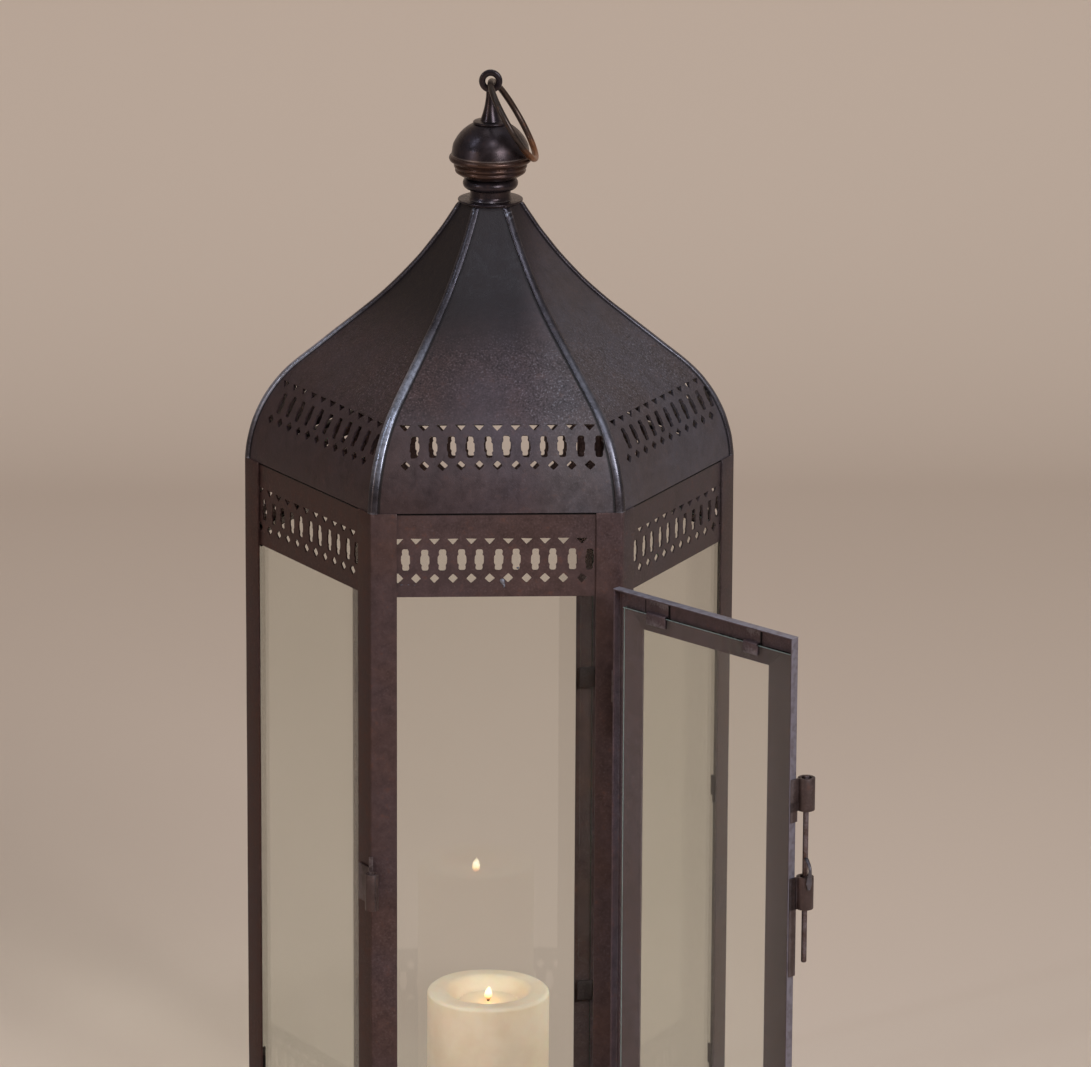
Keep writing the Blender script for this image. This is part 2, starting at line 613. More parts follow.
def glassMaterial(name, tint, roughness=0.01, smear=0.02):
    # Clear glass with a faint tint and barely seen smears; light from the lamps passes through it
    material, tree, shader, where = blankMaterial(name)
    smears = noise(tree, addNode(tree, "ShaderNodeMapping", {"Vector": where, "Scale": (1, 1, 0.3)})
                   .outputs["Vector"], 30, 4, 0.6)
    tree.links.new(ramp(tree, smears, 0.4, 0.8, roughness, roughness + smear), shader.inputs["Roughness"])
    cloud = noise(tree, where, 9, 2, 0.5)
    colour = mixColour(tree, ramp(tree, cloud, 0.3, 0.7), (*tint, 1), (*[c ** 1.2 for c in tint], 1))
    tree.links.new(colour, shader.inputs["Base Color"])
    shader.inputs["Transmission Weight"].default_value = 1.0
    shader.inputs["IOR"].default_value = 1.5
    passing = addNode(tree, "ShaderNodeBsdfTransparent")
    passing.inputs["Color"].default_value = (0.9, 0.92, 0.9, 1)
    mixShaders(tree, addNode(tree, "ShaderNodeLightPath").outputs["Is Shadow Ray"], shader, passing)
    return material


def groundEdgeMaterial():
    # The pane's ground arris: pale, silky and faintly green
    material, tree, shader, where = blankMaterial("groundGlassEdge")
    grain = noise(tree, where, 800, 2, 0.5)
    colour = mixColour(tree, ramp(tree, grain, 0.3, 0.7), (0.26, 0.38, 0.36, 1), (0.42, 0.54, 0.52, 1))
    tree.links.new(colour, shader.inputs["Base Color"])
    tree.links.new(ramp(tree, grain, 0.3, 0.7, 0.25, 0.5), shader.inputs["Roughness"])
    shader.inputs["Transmission Weight"].default_value = 0.35
    return material


def waxMaterial():
    # Cream wax, lighter and glowing near the flame, with a fine cast texture
    material, tree, shader, where = blankMaterial("creamWax")
    fine = noise(tree, where, 420, 3, 0.5)
    cloud = noise(tree, where, 38, 3, 0.6)
    body = mixColour(tree, ramp(tree, cloud, 0.3, 0.7), (0.82, 0.66, 0.475, 1), (0.88, 0.745, 0.565, 1))
    tree.links.new(body, shader.inputs["Base Color"])
    parts = addNode(tree, "ShaderNodeSeparateXYZ", {"Vector": where})
    across = addNode(tree, "ShaderNodeCombineXYZ", {"X": parts.outputs["X"], "Y": parts.outputs["Y"]})
    radius = addNode(tree, "ShaderNodeVectorMath", {0: across.outputs[0]}, operation="LENGTH")
    radius = radius.outputs["Value"]
    glow = times(tree, ramp(tree, parts.outputs["Z"], candleTop - 0.080, candleTop - 0.010, 0.3, 1.0),
                 ramp(tree, radius, 0.032, 0.020, 0.7, 0.3))
    warmth = addNode(tree, "ShaderNodeCombineColor", {0: glow, 1: times(tree, glow, 0.80),
                                                      2: times(tree, glow, 0.56)})
    tree.links.new(warmth.outputs[0], shader.inputs["Emission Color"])
    shader.inputs["Emission Strength"].default_value = 0.18
    shader.inputs["Subsurface Weight"].default_value = 0.6
    shader.inputs["Subsurface Radius"].default_value = (0.020, 0.012, 0.007)
    shader.inputs["Subsurface Scale"].default_value = 1.0
    melted = ramp(tree, radius, (candle["melt"] - 8) * mm, (candle["melt"] + 5) * mm, 0.0, 1.0)
    under = ramp(tree, parts.outputs["Z"], candleTop - 0.0072, candleTop - 0.0085, 1.0, 0.0)
    wet = calc(tree, "MAXIMUM", melted, under)
    tree.links.new(calc(tree, "MULTIPLY_ADD", wet, ramp(tree, fine, 0.3, 0.7, 0.30, 0.42), 0.08),
                   shader.inputs["Roughness"])
    height = times(tree, calc(tree, "ADD", fine, cloud), wet)
    relief = addNode(tree, "ShaderNodeBump", {"Strength": 0.25, "Distance": 0.0005, "Height": height})
    tree.links.new(relief.outputs["Normal"], shader.inputs["Normal"])
    return material


def flameMaterial(low, high):
    # The flame's light runs from deep orange at its foot through yellow to a white-yellow heart
    material, tree, shader, where = blankMaterial("flameLight")
    up = ramp(tree, partOf(tree, where), low, high)
    foot = mixColour(tree, ramp(tree, up, 0.0, 0.25), (0.55, 0.20, 0.05, 1), (1.0, 0.72, 0.30, 1))
    colour = mixColour(tree, ramp(tree, up, 0.2, 0.6), foot, (1.0, 0.90, 0.62, 1))
    bright = mixColour(tree, 1.0, colour, (7, 7, 7, 1), "MULTIPLY")
    seen = addNode(tree, "ShaderNodeLightPath").outputs["Is Camera Ray"]
    tree.links.new(mixColour(tree, seen, bright, colour), shader.inputs["Emission Color"])
    shader.inputs["Emission Strength"].default_value = 1.5
    shader.inputs["Base Color"].default_value = (0.1, 0.05, 0.02, 1)
    return material


def wickMaterial():
    material, tree, shader, where = blankMaterial("charredCotton")
    twist = addNode(tree, "ShaderNodeTexWave", {"Vector": where, "Scale": 350.0, "Distortion": 2.0},
                    bands_direction="Z").outputs["Fac"]
    colour = mixColour(tree, twist, (0.012, 0.009, 0.008, 1), (0.06, 0.045, 0.035, 1))
    tree.links.new(colour, shader.inputs["Base Color"])
    relief = addNode(tree, "ShaderNodeBump", {"Strength": 0.6, "Distance": 0.0002, "Height": twist})
    tree.links.new(relief.outputs["Normal"], shader.inputs["Normal"])
    shader.inputs["Roughness"].default_value = 0.9
    return material


paneGlass = glassMaterial("paneGlass", (0.90, 0.912, 0.882))
paneEdge = glassMaterial("paneEdgeGlass", (0.30, 0.52, 0.44), 0.15)
arrisGlass = groundEdgeMaterial()
candle = {"radius": 38.3, "rim": 10.0, "round": 2.5, "pool": 8.0, "melt": 20.0, "wick": 0.9, "wickHigh": 4.0,
          "flameHigh": 8.6, "flameWide": 5.7, "flameUp": 0.8}
waxPaint = waxMaterial()
wickPaint = wickMaterial()
print("glass and wax finishes made")


# The roof line in a corner's plane: a round shoulder, a straight run, a hollow neck (mm and degrees)
roof = {
    "eaveInset": 1.0,
    "crownRadius": 19.2,
    "shoulderRadius": 84.0,
    "eaveLean": 3.0,
    "swell": 12.3,
    "crownLift": 8.3,
    "thickness": 1.5,
    "rowStep": 2.6,
    "columnStep": 4.5,
    "slotUp": 38.3,
    "shift": 0.8,
    "columns": 5,
    "dent": 0.35,
}
rib = {"footWidth": 6.5, "topWidth": 4.8, "proud": 1.4, "ridge": 0.6, "rows": 90, "columns": 26, "dent": 0.12}
roofHeight = (crownHeight - bodyHeight) / mm


def roofCurve():
    # Solves the run's length and the hollow's radius so that the line ends at the crown
    eave = (apothem / mm - roof["eaveInset"]) / math.cos(halfTurn)
    chord = math.degrees(math.atan2(eave - roof["crownRadius"], roofHeight))
    runLean, crownLean = chord + roof["swell"], chord - roof["crownLift"]
    radius, start = roof["shoulderRadius"], math.radians(roof["eaveLean"])
    middle = np.array([eave - radius * math.cos(start), -radius * math.sin(start)])
    run, crown = math.radians(runLean), math.radians(crownLean)
    runStart = middle + radius * np.array([math.cos(run), math.sin(run)])
    along = np.array([-math.sin(run), math.cos(run)])
    bend = np.array([math.cos(run) - math.cos(crown), math.sin(run) - math.sin(crown)])
    crownPoint = np.array([roof["crownRadius"], roofHeight])
    length, hollow = np.linalg.solve(np.stack([along, bend], -1), crownPoint - runStart)
    runEnd = runStart + length * along
    hollowMiddle = runEnd + hollow * np.array([math.cos(run), math.sin(run)])
    return {"middle": middle, "radius": radius, "runStart": runStart, "runEnd": runEnd, "lean": run,
            "hollow": hollow, "hollowMiddle": hollowMiddle}


curve = roofCurve()


def cornerRadius(height):
    # Radius of the roof's corner at a height over the eave: round shoulder, straight run, hollow neck
    height = np.asarray(height, float)
    low = curve["middle"][0] + np.sqrt(
        np.maximum(curve["radius"] ** 2 - (height - curve["middle"][1]) ** 2, 0))
    run = curve["runStart"][0] - (height - curve["runStart"][1]) * math.tan(curve["lean"])
    top = curve["hollowMiddle"][0] - np.sqrt(
        np.maximum(curve["hollow"] ** 2 - (height - curve["hollowMiddle"][1]) ** 2, 0))
    return np.where(height < curve["runStart"][1], low, np.where(height < curve["runEnd"][1], run, top))


def faceRadius(height):
    return cornerRadius(height) * math.cos(halfTurn)


def faceSlope(height):
    return (faceRadius(height + 0.05) - faceRadius(height - 0.05)) / 0.1


print("roof line solved: hollow radius", round(float(curve["hollow"]), 1))

piercing = {
    "pitch": 11.0,
    "slotHeight": 13.3,
    "slotWidth": 5.3,
    "waist": 3.7,
    "knob": 4.2,
    "diamond": 6.4,
    "triangleWidth": 7.1,
    "triangleHeight": 3.8,
    "triangleUp": 13.2,
    "diamondDown": 11.5,
    "jitter": 0.16,
}


def slotOutline(rough, loose):
    # Half widths down a baluster: knob, waist, belly, waist, knob; a little askew, as cut by hand
    knob, waist, belly = piercing["knob"] / 2, piercing["waist"] / 2, piercing["slotWidth"] / 2
    share = np.array([0.5, 0.43, 0.31, 0.25, 0.18, 0.0])
    width = np.array([knob * 0.68, knob, knob, waist, belly, belly * 1.03])
    right = np.concatenate([np.stack([width, share], -1), np.stack([width[-2::-1], -share[-2::-1]], -1)])
    right[:, 1] *= piercing["slotHeight"]
    loop = np.concatenate([right, right[::-1] * [-1, 1]])
    loop = loop * [1 + loose * rough.uniform(-0.05, 0.05), 1 + loose * rough.uniform(-0.02, 0.02)]
    loop = loop + loose * rough.uniform(-0.10, 0.10, loop.shape)
    loop[:, 0] += loop[:, 1] * loose * rough.uniform(-0.04, 0.04)
    return roundCorners(loop, 0.5, 3) + loose * rough.uniform(-0.15, 0.15, 2)


def diamondOutline(rough):
    half = piercing["diamond"] / 2 * (1 + rough.uniform(-0.06, 0.06))
    loop = np.array([[half, 0], [0, half], [-half, 0], [0, -half]])
    loop = loop + rough.uniform(-1, 1, loop.shape) * piercing["jitter"]
    return roundCorners(loop, 0.7, 4)


def triangleOutline(rough):
    half, drop = piercing["triangleWidth"] / 2, piercing["triangleHeight"]
    loop = np.array([[-half, 0], [0, -drop], [half, 0]]) + rough.uniform(-1, 1, (3, 2)) * piercing["jitter"]
    return roundCorners(loop, 0.5, 4)


def piercedHoles(columns, shift, half, slotMiddle, fold, seed, loose=1.0, slotShift=0.0, flip=1):
    # Outlines of all punched holes on one sheet, in the sheet's (across, up) millimetres
    rough = np.random.default_rng(seed)
    holes = []
    for i in range(-columns, columns + 1):
        column = shift + i * piercing["pitch"]
        slotAt = column + piercing["pitch"] / 2 + slotShift + 0.3 * (slotShift != 0) * (-1) ** i
        shapes = []
        if abs(column) + piercing["triangleWidth"] / 2 < half:
            shapes.append((triangleOutline(rough), column, piercing["triangleUp"]))
            shapes.append((diamondOutline(rough), column, -piercing["diamondDown"]))
        if abs(slotAt) + piercing["slotWidth"] / 2 < half:
            shapes.append((slotOutline(rough, loose), slotAt, 0.0))
        for loop, x, up in shapes:
            holes.append((loop + [x, up]) * [flip, flip * fold] + [0, slotMiddle])
    return holes


def insideLoop(points, loop):
    # Even-odd rule: counts the loop's edges that a level ray from each point crosses
    a, b = loop, np.roll(loop, -1, 0)
    x, y = points[:, :1], points[:, 1:]
    crosses = (a[None, :, 1] > y) != (b[None, :, 1] > y)
    slope = (b[:, 0] - a[:, 0]) / np.where(np.abs(b[:, 1] - a[:, 1]) < 1e-12, 1e-12, b[:, 1] - a[:, 1])
    at = a[None, :, 0] + (y - a[None, :, 1]) * slope[None]
    return (np.sum(crosses & (x < at), axis=1) % 2) == 1


def piercedSheet(name, outline, holes, fill, surface, normal, thickness):
    # A flat triangulation with its holes left out, laid on a surface and given a back and rims
    loops = [outline] + holes
    edges, start = [], 0
    for loop in loops:
        index = np.arange(len(loop))
        edges.append(np.stack([index, np.roll(index, -1)], -1) + start)
        start += len(loop)
    rim = np.concatenate(loops)
    near = np.zeros(len(fill), bool)
    inside = insideLoop(fill, outline)
    for hole in holes:
        middle = hole.mean(0)
        close = np.linalg.norm(fill - middle, axis=1) < 12
        gap = np.full(len(fill), 99.0)
        if close.any():
            gap[close] = np.linalg.norm(fill[close][:, None] - hole[None], axis=2).min(1)
            near[close] |= insideLoop(fill[close], hole)
        near |= gap < 0.7
    gapOut = np.linalg.norm(fill[:, None] - outline[None], axis=2).min(1)
    fill = fill[inside & ~near & (gapOut > 0.9)]
    flat = np.concatenate([rim, fill])
    result = delaunay_2d_cdt([tuple(p) for p in flat], [tuple(e) for e in np.concatenate(edges).tolist()],
                             [], 0, 1e-5)
    flat = np.array([tuple(p) for p in result[0]])
    triangles = np.array([f for f in result[2] if len(f) == 3])
    middles = flat[triangles].mean(1)
    keep = insideLoop(middles, outline)
    for hole in holes:
        box = np.all((middles > hole.min(0)) & (middles < hole.max(0)), axis=1)
        keep[box] &= ~insideLoop(middles[box], hole)
    triangles = triangles[keep]
    outer = surface(flat)
    outward = normal(flat)
    inner = outer - outward * thickness
    count = len(flat)
    raw = np.concatenate([triangles[:, [0, 1]], triangles[:, [1, 2]], triangles[:, [2, 0]]])
    pairs = np.sort(raw, axis=1)
    first, uses = np.unique(pairs[:, 0] * count + pairs[:, 1], return_index=True, return_counts=True)[1:]
    border = raw[first[uses == 1]]
    rims = np.stack([border[:, 1], border[:, 0], border[:, 0] + count, border[:, 1] + count], -1)
    thing = putMesh(name, np.concatenate([outer, inner]) * mm, np.concatenate(
        [triangles, triangles[:, ::-1] + count]), rims)
    used = np.unique(triangles)
    gap = np.full(count, 99.0)
    for chunk in np.array_split(used, max(1, len(used) // 400)):
        gap[chunk] = np.linalg.norm(flat[chunk][:, None] - rim[None], axis=2).min(1)
    edge = 0.3 * np.exp(-gap / 0.3)
    if len(thing.data.vertices) == 2 * count:
        layer = thing.data.attributes.new("edge", "FLOAT", "POINT")
        layer.data.foreach_set("value", np.concatenate([edge, edge]).astype(np.float32))
    return thing


def ribHalf(height):
    return (rib["footWidth"] + (rib["topWidth"] - rib["footWidth"]) * height / roofHeight) / 2


def roofPanel(k):
    # The gore lies at faceRadius(height) along the face's normal, with faint dents near its middle
    angle = faceAngle(k)
    rough = np.random.default_rng(40 + k)
    heights = np.linspace(0, roofHeight, int(roofHeight / roof["rowStep"]))
    halves = faceRadius(heights) * math.tan(halfTurn)
    right = np.stack([halves, heights], -1)
    left = right[::-1] * [-1, 1]
    eave = np.stack([np.linspace(-halves[0], halves[0], 32)[1:-1], np.zeros(30)], -1)
    top = np.stack([np.linspace(halves[-1], -halves[-1], 8)[1:-1], np.full(6, roofHeight)], -1)
    outline = np.concatenate([eave, right, top, left])
    rows, columns = np.meshgrid(np.arange(roof["rowStep"], roofHeight - 1, roof["rowStep"]),
                                np.arange(-75, 75, roof["columnStep"]), indexing="ij")
    stagger = (np.arange(rows.shape[0]) % 2)[:, None] * roof["columnStep"] / 2
    fill = np.stack([columns + stagger, rows], -1).reshape(-1, 2)
    lean = math.asin((roof["slotUp"] - curve["middle"][1]) / curve["radius"])
    fold = math.cos(math.atan(math.tan(lean) * math.cos(halfTurn)))
    holes = piercedHoles(roof["columns"], roof["shift"], side / mm / 2, roof["slotUp"], fold, 10 + k, 1.6)
    holes = [hole for hole in holes
             if np.all(np.abs(hole[:, 0]) < faceRadius(hole[:, 1]) * math.tan(halfTurn) - 2.2)]
    waves = rough.uniform(-1, 1, (6, 4))

    def bulge(flat):
        # A sum of six soft waves that dies out at the panel's edges
        x, y = flat[:, 0], flat[:, 1]
        total = np.zeros(len(flat))
        for a, b, c, d in waves:
            total += np.sin(x * (0.03 + 0.03 * a) + 3 * c) * np.sin(y * (0.035 + 0.03 * b) + 3 * d)
        half = faceRadius(y) * math.tan(halfTurn)
        fade = np.clip((half - np.abs(x)) / 14, 0, 1)
        fade = fade * np.clip(y / 30, 0, 1) * np.clip((roofHeight - y) / 30, 0, 1)
        return total / 6 * roof["dent"] * fade

    def surface(flat):
        out = faceRadius(flat[:, 1]) + bulge(flat)
        points = np.stack([out, flat[:, 0], flat[:, 1] + bodyHeight / mm], -1)
        return turned(points, angle)

    def normal(flat):
        slope = faceSlope(np.clip(flat[:, 1], 0.1, roofHeight - 0.1))
        size = np.sqrt(1 + slope ** 2)
        return turned(np.stack([1 / size, 0 * size, -slope / size], -1), angle)

    thing = piercedSheet(f"roofPanel{k}", outline, holes, fill, surface, normal, roof["thickness"])
    # fromRib: millimetres from the rib's edge, for the dark joint beside it
    points = np.empty(len(thing.data.vertices) * 3, np.float32)
    thing.data.vertices.foreach_get("co", points)
    local = turned(points.reshape(-1, 3) / mm, -angle)
    height = np.clip(local[:, 2] - bodyHeight / mm, 0, roofHeight)
    seam = faceRadius(height) * math.tan(halfTurn)
    away = seam - np.abs(local[:, 1]) - ribHalf(height) / math.cos(halfTurn)
    layer = thing.data.attributes.new("fromRib", "FLOAT", "POINT")
    layer.data.foreach_set("value", away.astype(np.float32))
    return dress(thing, "lantern", roofPaint, "roof_paint", f"roof_panel_{k}")


def bandSheet(name, k, low, high, slotMiddle, flip, seed, node):
    angle = faceAngle(k)
    half = bandHalf / mm
    low, high = low / mm, high / mm
    across = np.linspace(-half, half, 40)
    up = np.linspace(low, high, 16)
    outline = np.concatenate([np.stack([across, np.full(40, low)], -1),
                              np.stack([np.full(14, half), up[1:-1]], -1),
                              np.stack([across[::-1], np.full(40, high)], -1),
                              np.stack([np.full(14, -half), up[1:-1][::-1]], -1)])
    columns, rows = np.meshgrid(np.arange(-half + 2.5, half - 1, 3.6), np.arange(low + 2.5, high - 1, 3.2))
    fill = np.stack([columns, rows], -1).reshape(-1, 2)
    shift = band["backShift"] if k == 4 else band["shift"]
    holes = piercedHoles(7, shift, half - 1, slotMiddle, 1.0, seed, 0.8, -0.5, flip)

    def surface(flat):
        wave = 0.12 * np.sin(flat[:, 0] * 0.09 + seed) * np.sin((flat[:, 1] - low) * 0.06)
        return turned(np.stack([bandOut / mm - 0.15 + wave, flat[:, 0], flat[:, 1]], -1), angle)

    def normal(flat):
        return turned(np.stack([np.ones(len(flat)), np.zeros(len(flat)), np.zeros(len(flat))], -1), angle)

    thing = piercedSheet(name, outline, holes, fill, surface, normal, (bandOut - bandIn) / mm - 0.15)
    return dress(thing, "lantern", bandPaint, "band_paint", node)


band = {"shift": -4.0, "backShift": 2.0, "slotDrop": 29.0, "lip": 6.0, "lipThick": 1.2, "lipHalf": 71.5}
for k in range(1, 7):
    roofPanel(k)
print("roof panels made")
for k in range(1, 7):
    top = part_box(f"upper_band_{k}")[1].z
    slots = bodyHeight / mm - band["slotDrop"]
    bandSheet(f"upperBand{k}", k, headHeight, top, slots, 1, 60 + k, f"upper_band_{k}")
    bandSheet(f"lowerBand{k}", k, 0, sillHeight, band["slotDrop"], -1, 80 + k, f"lower_band_{k}")


def bandLips():
    # The upper bands' tops are folded inwards, under the eave
    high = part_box("upper_band_4")[1].z / mm
    inner, half = bandIn / mm - band["lip"], band["lipHalf"]
    inHalf = half - band["lip"] * math.tan(halfTurn)
    outline = [[bandIn / mm + 0.1, -half], [bandIn / mm + 0.1, half], [inner, inHalf], [inner, -inHalf]]
    pieces = []
    for k in range(1, 7):
        lip = prism("lip", outline, high - band["lipThick"], high, 0.15)
        pieces.append(moved(lip, lambda points, k=k: turned(points, faceAngle(k))))
    return dress(join("bandLips", pieces), "lantern", bandPaint, "band_paint")


bandLips()


# Each drip: place across and up, width, height and how far it stands proud, in mm
solder = ((3.6, 461.4, 3.2, 3.6, 1.0), (4.6, 458.8, 1.5, 2.4, 0.8), (12.8, 469.8, 1.6, 1.4, 0.8),
          (-56.8, 459.7, 1.9, 0.35, 0.5), (-52.6, 459.75, 1.3, 0.3, 0.5), (-49.0, 459.6, 1.1, 0.3, 0.5))


def solderBlobs():
    # Drips and burrs left on the front band: half drops pressed flat, each a dome over a narrow oval
    rough = np.random.default_rng(7)
    front = -bandOut / mm
    share, angle = np.meshgrid(np.linspace(0, 1, 9), np.linspace(0, 2 * math.pi, 24, endpoint=False),
                               indexing="ij")
    pieces = []
    for x, z, wide, high, proud in solder:
        swell = 1 + 0.12 * np.sin(2 * angle + rough.uniform(0, 6))
        swell = swell + 0.08 * np.sin(3 * angle + rough.uniform(0, 6))
        radius = np.sin(share * math.pi / 2) * swell
        grid = np.stack([x + wide / 2 * radius * np.cos(angle),
                         front + 0.2 - proud * np.cos(share * math.pi / 2),
                         z + high / 2 * radius * np.sin(angle)], -1)
        cap = (8 * 24 + np.arange(24))[None]
        pieces.append(tidyMesh(putMesh("blob", grid.reshape(-1, 3) * mm, gridQuads(9, 24, False, True), cap)))
    return dress(join("solderBlobs", pieces), "lantern", solderPaint, "band_paint")


solderBlobs()
print("pierced bands made")


def roofRib(k):
    # Across the seam the strip follows both panels; its height over them is a rounded box shape
    angle = faceAngle(k) + halfTurn
    rough = np.random.default_rng(100 + k)
    height = np.linspace(0, roofHeight, rib["rows"])[:, None]
    across = np.sin(np.linspace(-math.pi / 2, math.pi / 2, rib["columns"]))[None, :]
    half = ribHalf(height) * (1 + 0.03 * np.sin(height * 0.11 + 3 * k))
    y = half * across
    fold = np.sqrt(y ** 2 + rib["ridge"] ** 2) - rib["ridge"] * 0.6
    base = cornerRadius(height) - fold * math.tan(halfTurn)
    slope = (cornerRadius(np.clip(height, 0.1, roofHeight - 0.1) + 0.05)
             - cornerRadius(np.clip(height, 0.1, roofHeight - 0.1) - 0.05)) / 0.1
    bend = np.tanh(y / 1.2) * math.tan(halfTurn)
    size = np.sqrt(1 + slope ** 2 + bend ** 2)
    normal = np.stack(np.broadcast_arrays(1 / size, bend / size, -slope / size), -1)
    waves = sum(np.sin(height * f + p) for f, p in rough.uniform(0.05, 0.5, (5, 2)) * [1, 12]) / 5
    lift = rib["proud"] * (1 - np.abs(across) ** 10) ** 0.5 + rib["dent"] * waves - 0.35
    top = np.stack(np.broadcast_arrays(base, y, height), -1) + normal * lift[..., None]
    bottom = np.stack(np.broadcast_arrays(base, y, height), -1) - normal * 0.5
    ends = (np.abs(height - roofHeight / 2) >= roofHeight / 2 - 0.01)[..., None]
    top = np.where(ends, np.stack(np.broadcast_arrays(top[..., 0], top[..., 1], height), -1), top)
    bottom = np.where(ends, np.stack(np.broadcast_arrays(bottom[..., 0], bottom[..., 1], height), -1), bottom)
    ring = np.concatenate([top, bottom[:, ::-1]], axis=1)
    count = ring.shape[1]
    ring[..., 2] = np.clip(ring[..., 2], 0, roofHeight) + bodyHeight / mm
    faces = gridQuads(rib["rows"], count, False, True)
    caps = np.stack([np.arange(count)[::-1], (rib["rows"] - 1) * count + np.arange(count)])
    thing = putMesh(f"roofRib{k}", turned(ring.reshape(-1, 3), angle) * mm, faces, caps, sharpAngle=50)
    return dress(thing, "lantern", ribPaint, "rib_paint", f"roof_rib_{k}")


for k in range(1, 7):
    roofRib(k)
print("roof ribs made")

post = {"leg": 15.5, "thickness": 1.5, "bend": 0.8, "rows": 60, "wave": 0.10}


def cornerPost(k):
    # One sheet bent to the hexagon's angle with a small outside bend, faintly uneven along its height
    angle = faceAngle(k) + halfTurn
    way = np.array([-math.sin(halfTurn), math.cos(halfTurn)])
    inward = -np.array([math.cos(halfTurn), math.sin(halfTurn)]) * post["thickness"]
    corner = np.array([side / mm, 0])
    outer = corner + post["leg"] * way
    inner = outer + inward
    innerCorner = corner - [post["thickness"] / math.cos(halfTurn), 0]
    flip = np.array([1, -1])
    loop = np.array([outer * flip, corner, outer, inner, innerCorner, inner * flip])
    outline = roundCorners(loop, [0.35, post["bend"], 0.35, 0.35, 0.5, 0.35], 5)
    thing = prism(f"cornerPost{k}", outline, 0, bodyHeight / mm, 0.25, post["rows"])

    def uneven(points):
        wave = np.sin(points[:, 2] * 31 + k) * np.sin(points[:, 2] * 12.7 + 2 * k) * post["wave"] * mm
        points[:, 0] -= np.abs(wave)
        return points

    moved(thing, uneven)
    moved(thing, lambda points: turned(points, angle))
    return dress(thing, "lantern", postPaint, "post_paint", f"corner_post_{k}")


for k in range(1, 7):
    cornerPost(k)
print("corner posts made")

glass = {"arris": 0.6, "lapUp": 6.0, "paleArris": (2, 3)}


def glassSlab(name, low, high, a=glass["arris"]):
    # A pane with a ground arris all round; its narrow sides are the second material, the arrises the third
    low, high = np.array(low) / mm, np.array(high) / mm
    ringInset = np.array([a, 0, 0, a])
    depth = np.array([low[0], low[0] + a, high[0] - a, high[0]])
    corner = np.array([[0, 0], [1, 0], [1, 1], [0, 1]])
    size = high[1:] - low[1:]
    flat = low[1:] + corner * size
    inset = (corner * -2 + 1)
    grid = flat[None] + inset[None] * ringInset[:, None, None]
    points = np.concatenate([np.broadcast_to(depth[:, None, None], (4, 4, 1)), grid], -1).reshape(-1, 3)
    caps = np.array([[3, 2, 1, 0], [12, 13, 14, 15]])
    thing = putMesh(name, points * mm, gridQuads(4, 4, False, True), caps, sharpAngle=20)
    return thing


def edgeGlass(thing):
    # The slab's first twelve faces are the arris, the narrow side and the other arris, four of each
    index = np.zeros(len(thing.data.polygons), np.int32)
    index[:12] = np.repeat([2, 1, 2], 4)
    thing.data.polygons.foreach_set("material_index", index)
    return thing


def glassPane(k):
    angle = faceAngle(k)
    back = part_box("glass_pane_4")
    thing = glassSlab(f"glassPane{k}", (back[0].y, back[0].x, back[0].z), (back[1].y, back[1].x, back[1].z))
    moved(thing, lambda points: turned(points, angle))
    arris = arrisGlass if k in glass["paleArris"] else paneEdge
    dress(thing, "lantern", [paneGlass, paneEdge, arris], "pane_glass", f"glass_pane_{k}")
    return edgeGlass(thing)


for k in range(2, 7):
    glassPane(k)
print("fixed panes made")

door = {
    "inset": 2.75, "lap": 11.5, "depth": 6.0, "sheet": 1.2, "face": 21.5, "gap": 0.3, "glass": 3.0,
    "glassSide": 5.0, "glassTop": 9.5, "clipWidths": (11.5, 15.5), "clipReach": 6.0, "clipInset": 34.0,
    "clipSheet": 1.0, "seam": 0.04, "fold": 1.8, "slits": (-43.7, 30.2, 50.0), "slitWidth": 0.6,
    "slitLow": 10.7, "slitHigh": 3.2, "paneArris": 0.25, "rubTint": (0.29, 0.28, 0.34, 1),
}
doorHalf = side / mm / 2 - door["inset"]
doorLow = sillHeight / mm - door["lap"]
doorHigh = headHeight / mm + door["lap"]
doorBack = -apothem / mm - door["gap"]
doorFront = doorBack - door["depth"]


def doorRub(tree, where, patina, colour):
    # Bare metal on the top flange's upper face and the latch flange's outer one, dark cuts beside the clips
    out = (-math.cos(openAngle), -math.sin(openAngle), 0)
    edge0 = float(np.dot(hingeAxis, out)) / mm + side / mm / 2
    along = addNode(tree, "ShaderNodeVectorMath", {0: where, 1: out}, operation="DOT_PRODUCT")
    along = along.outputs["Value"]
    height = partOf(tree, where)
    upper = ramp(tree, height, (doorHigh - 0.6) * mm, (doorHigh - 0.2) * mm)
    latch = edge0 + doorHalf
    outer = times(tree, ramp(tree, along, (latch - 0.55) * mm, (latch - 0.15) * mm), 0.7)
    cuts = 0.0
    for x in door["slits"]:
        low, high = (edge0 - x - 0.3) * mm, (edge0 - x + 0.3) * mm
        cuts = calc(tree, "ADD", between(tree, along, low, high, 0.0002), cuts)
    rail = between(tree, height, (doorHigh - door["slitLow"]) * mm, (doorHigh - 1.2) * mm, 0.0003)
    tree.links.new(times(tree, cuts, rail), patina.inputs["Seam"])
    grain = noise(tree, where, 260, 3, 0.6)
    bare = times(tree, calc(tree, "MAXIMUM", upper, outer), ramp(tree, grain, 0.3, 0.6, 0.5, 1.0))
    return mixColour(tree, bare, colour, door["rubTint"])


doorPaint = bronzeMaterial("doorBronze", (0.092, 0.064, 0.076), bronze["warm"], (0.27, 0.25, 0.27),
                           bronze["rust"], warmAmount=0.3, wornAmount=0.5, rustAmount=0.2, pebble=0.3,
                           finish=doorRub)


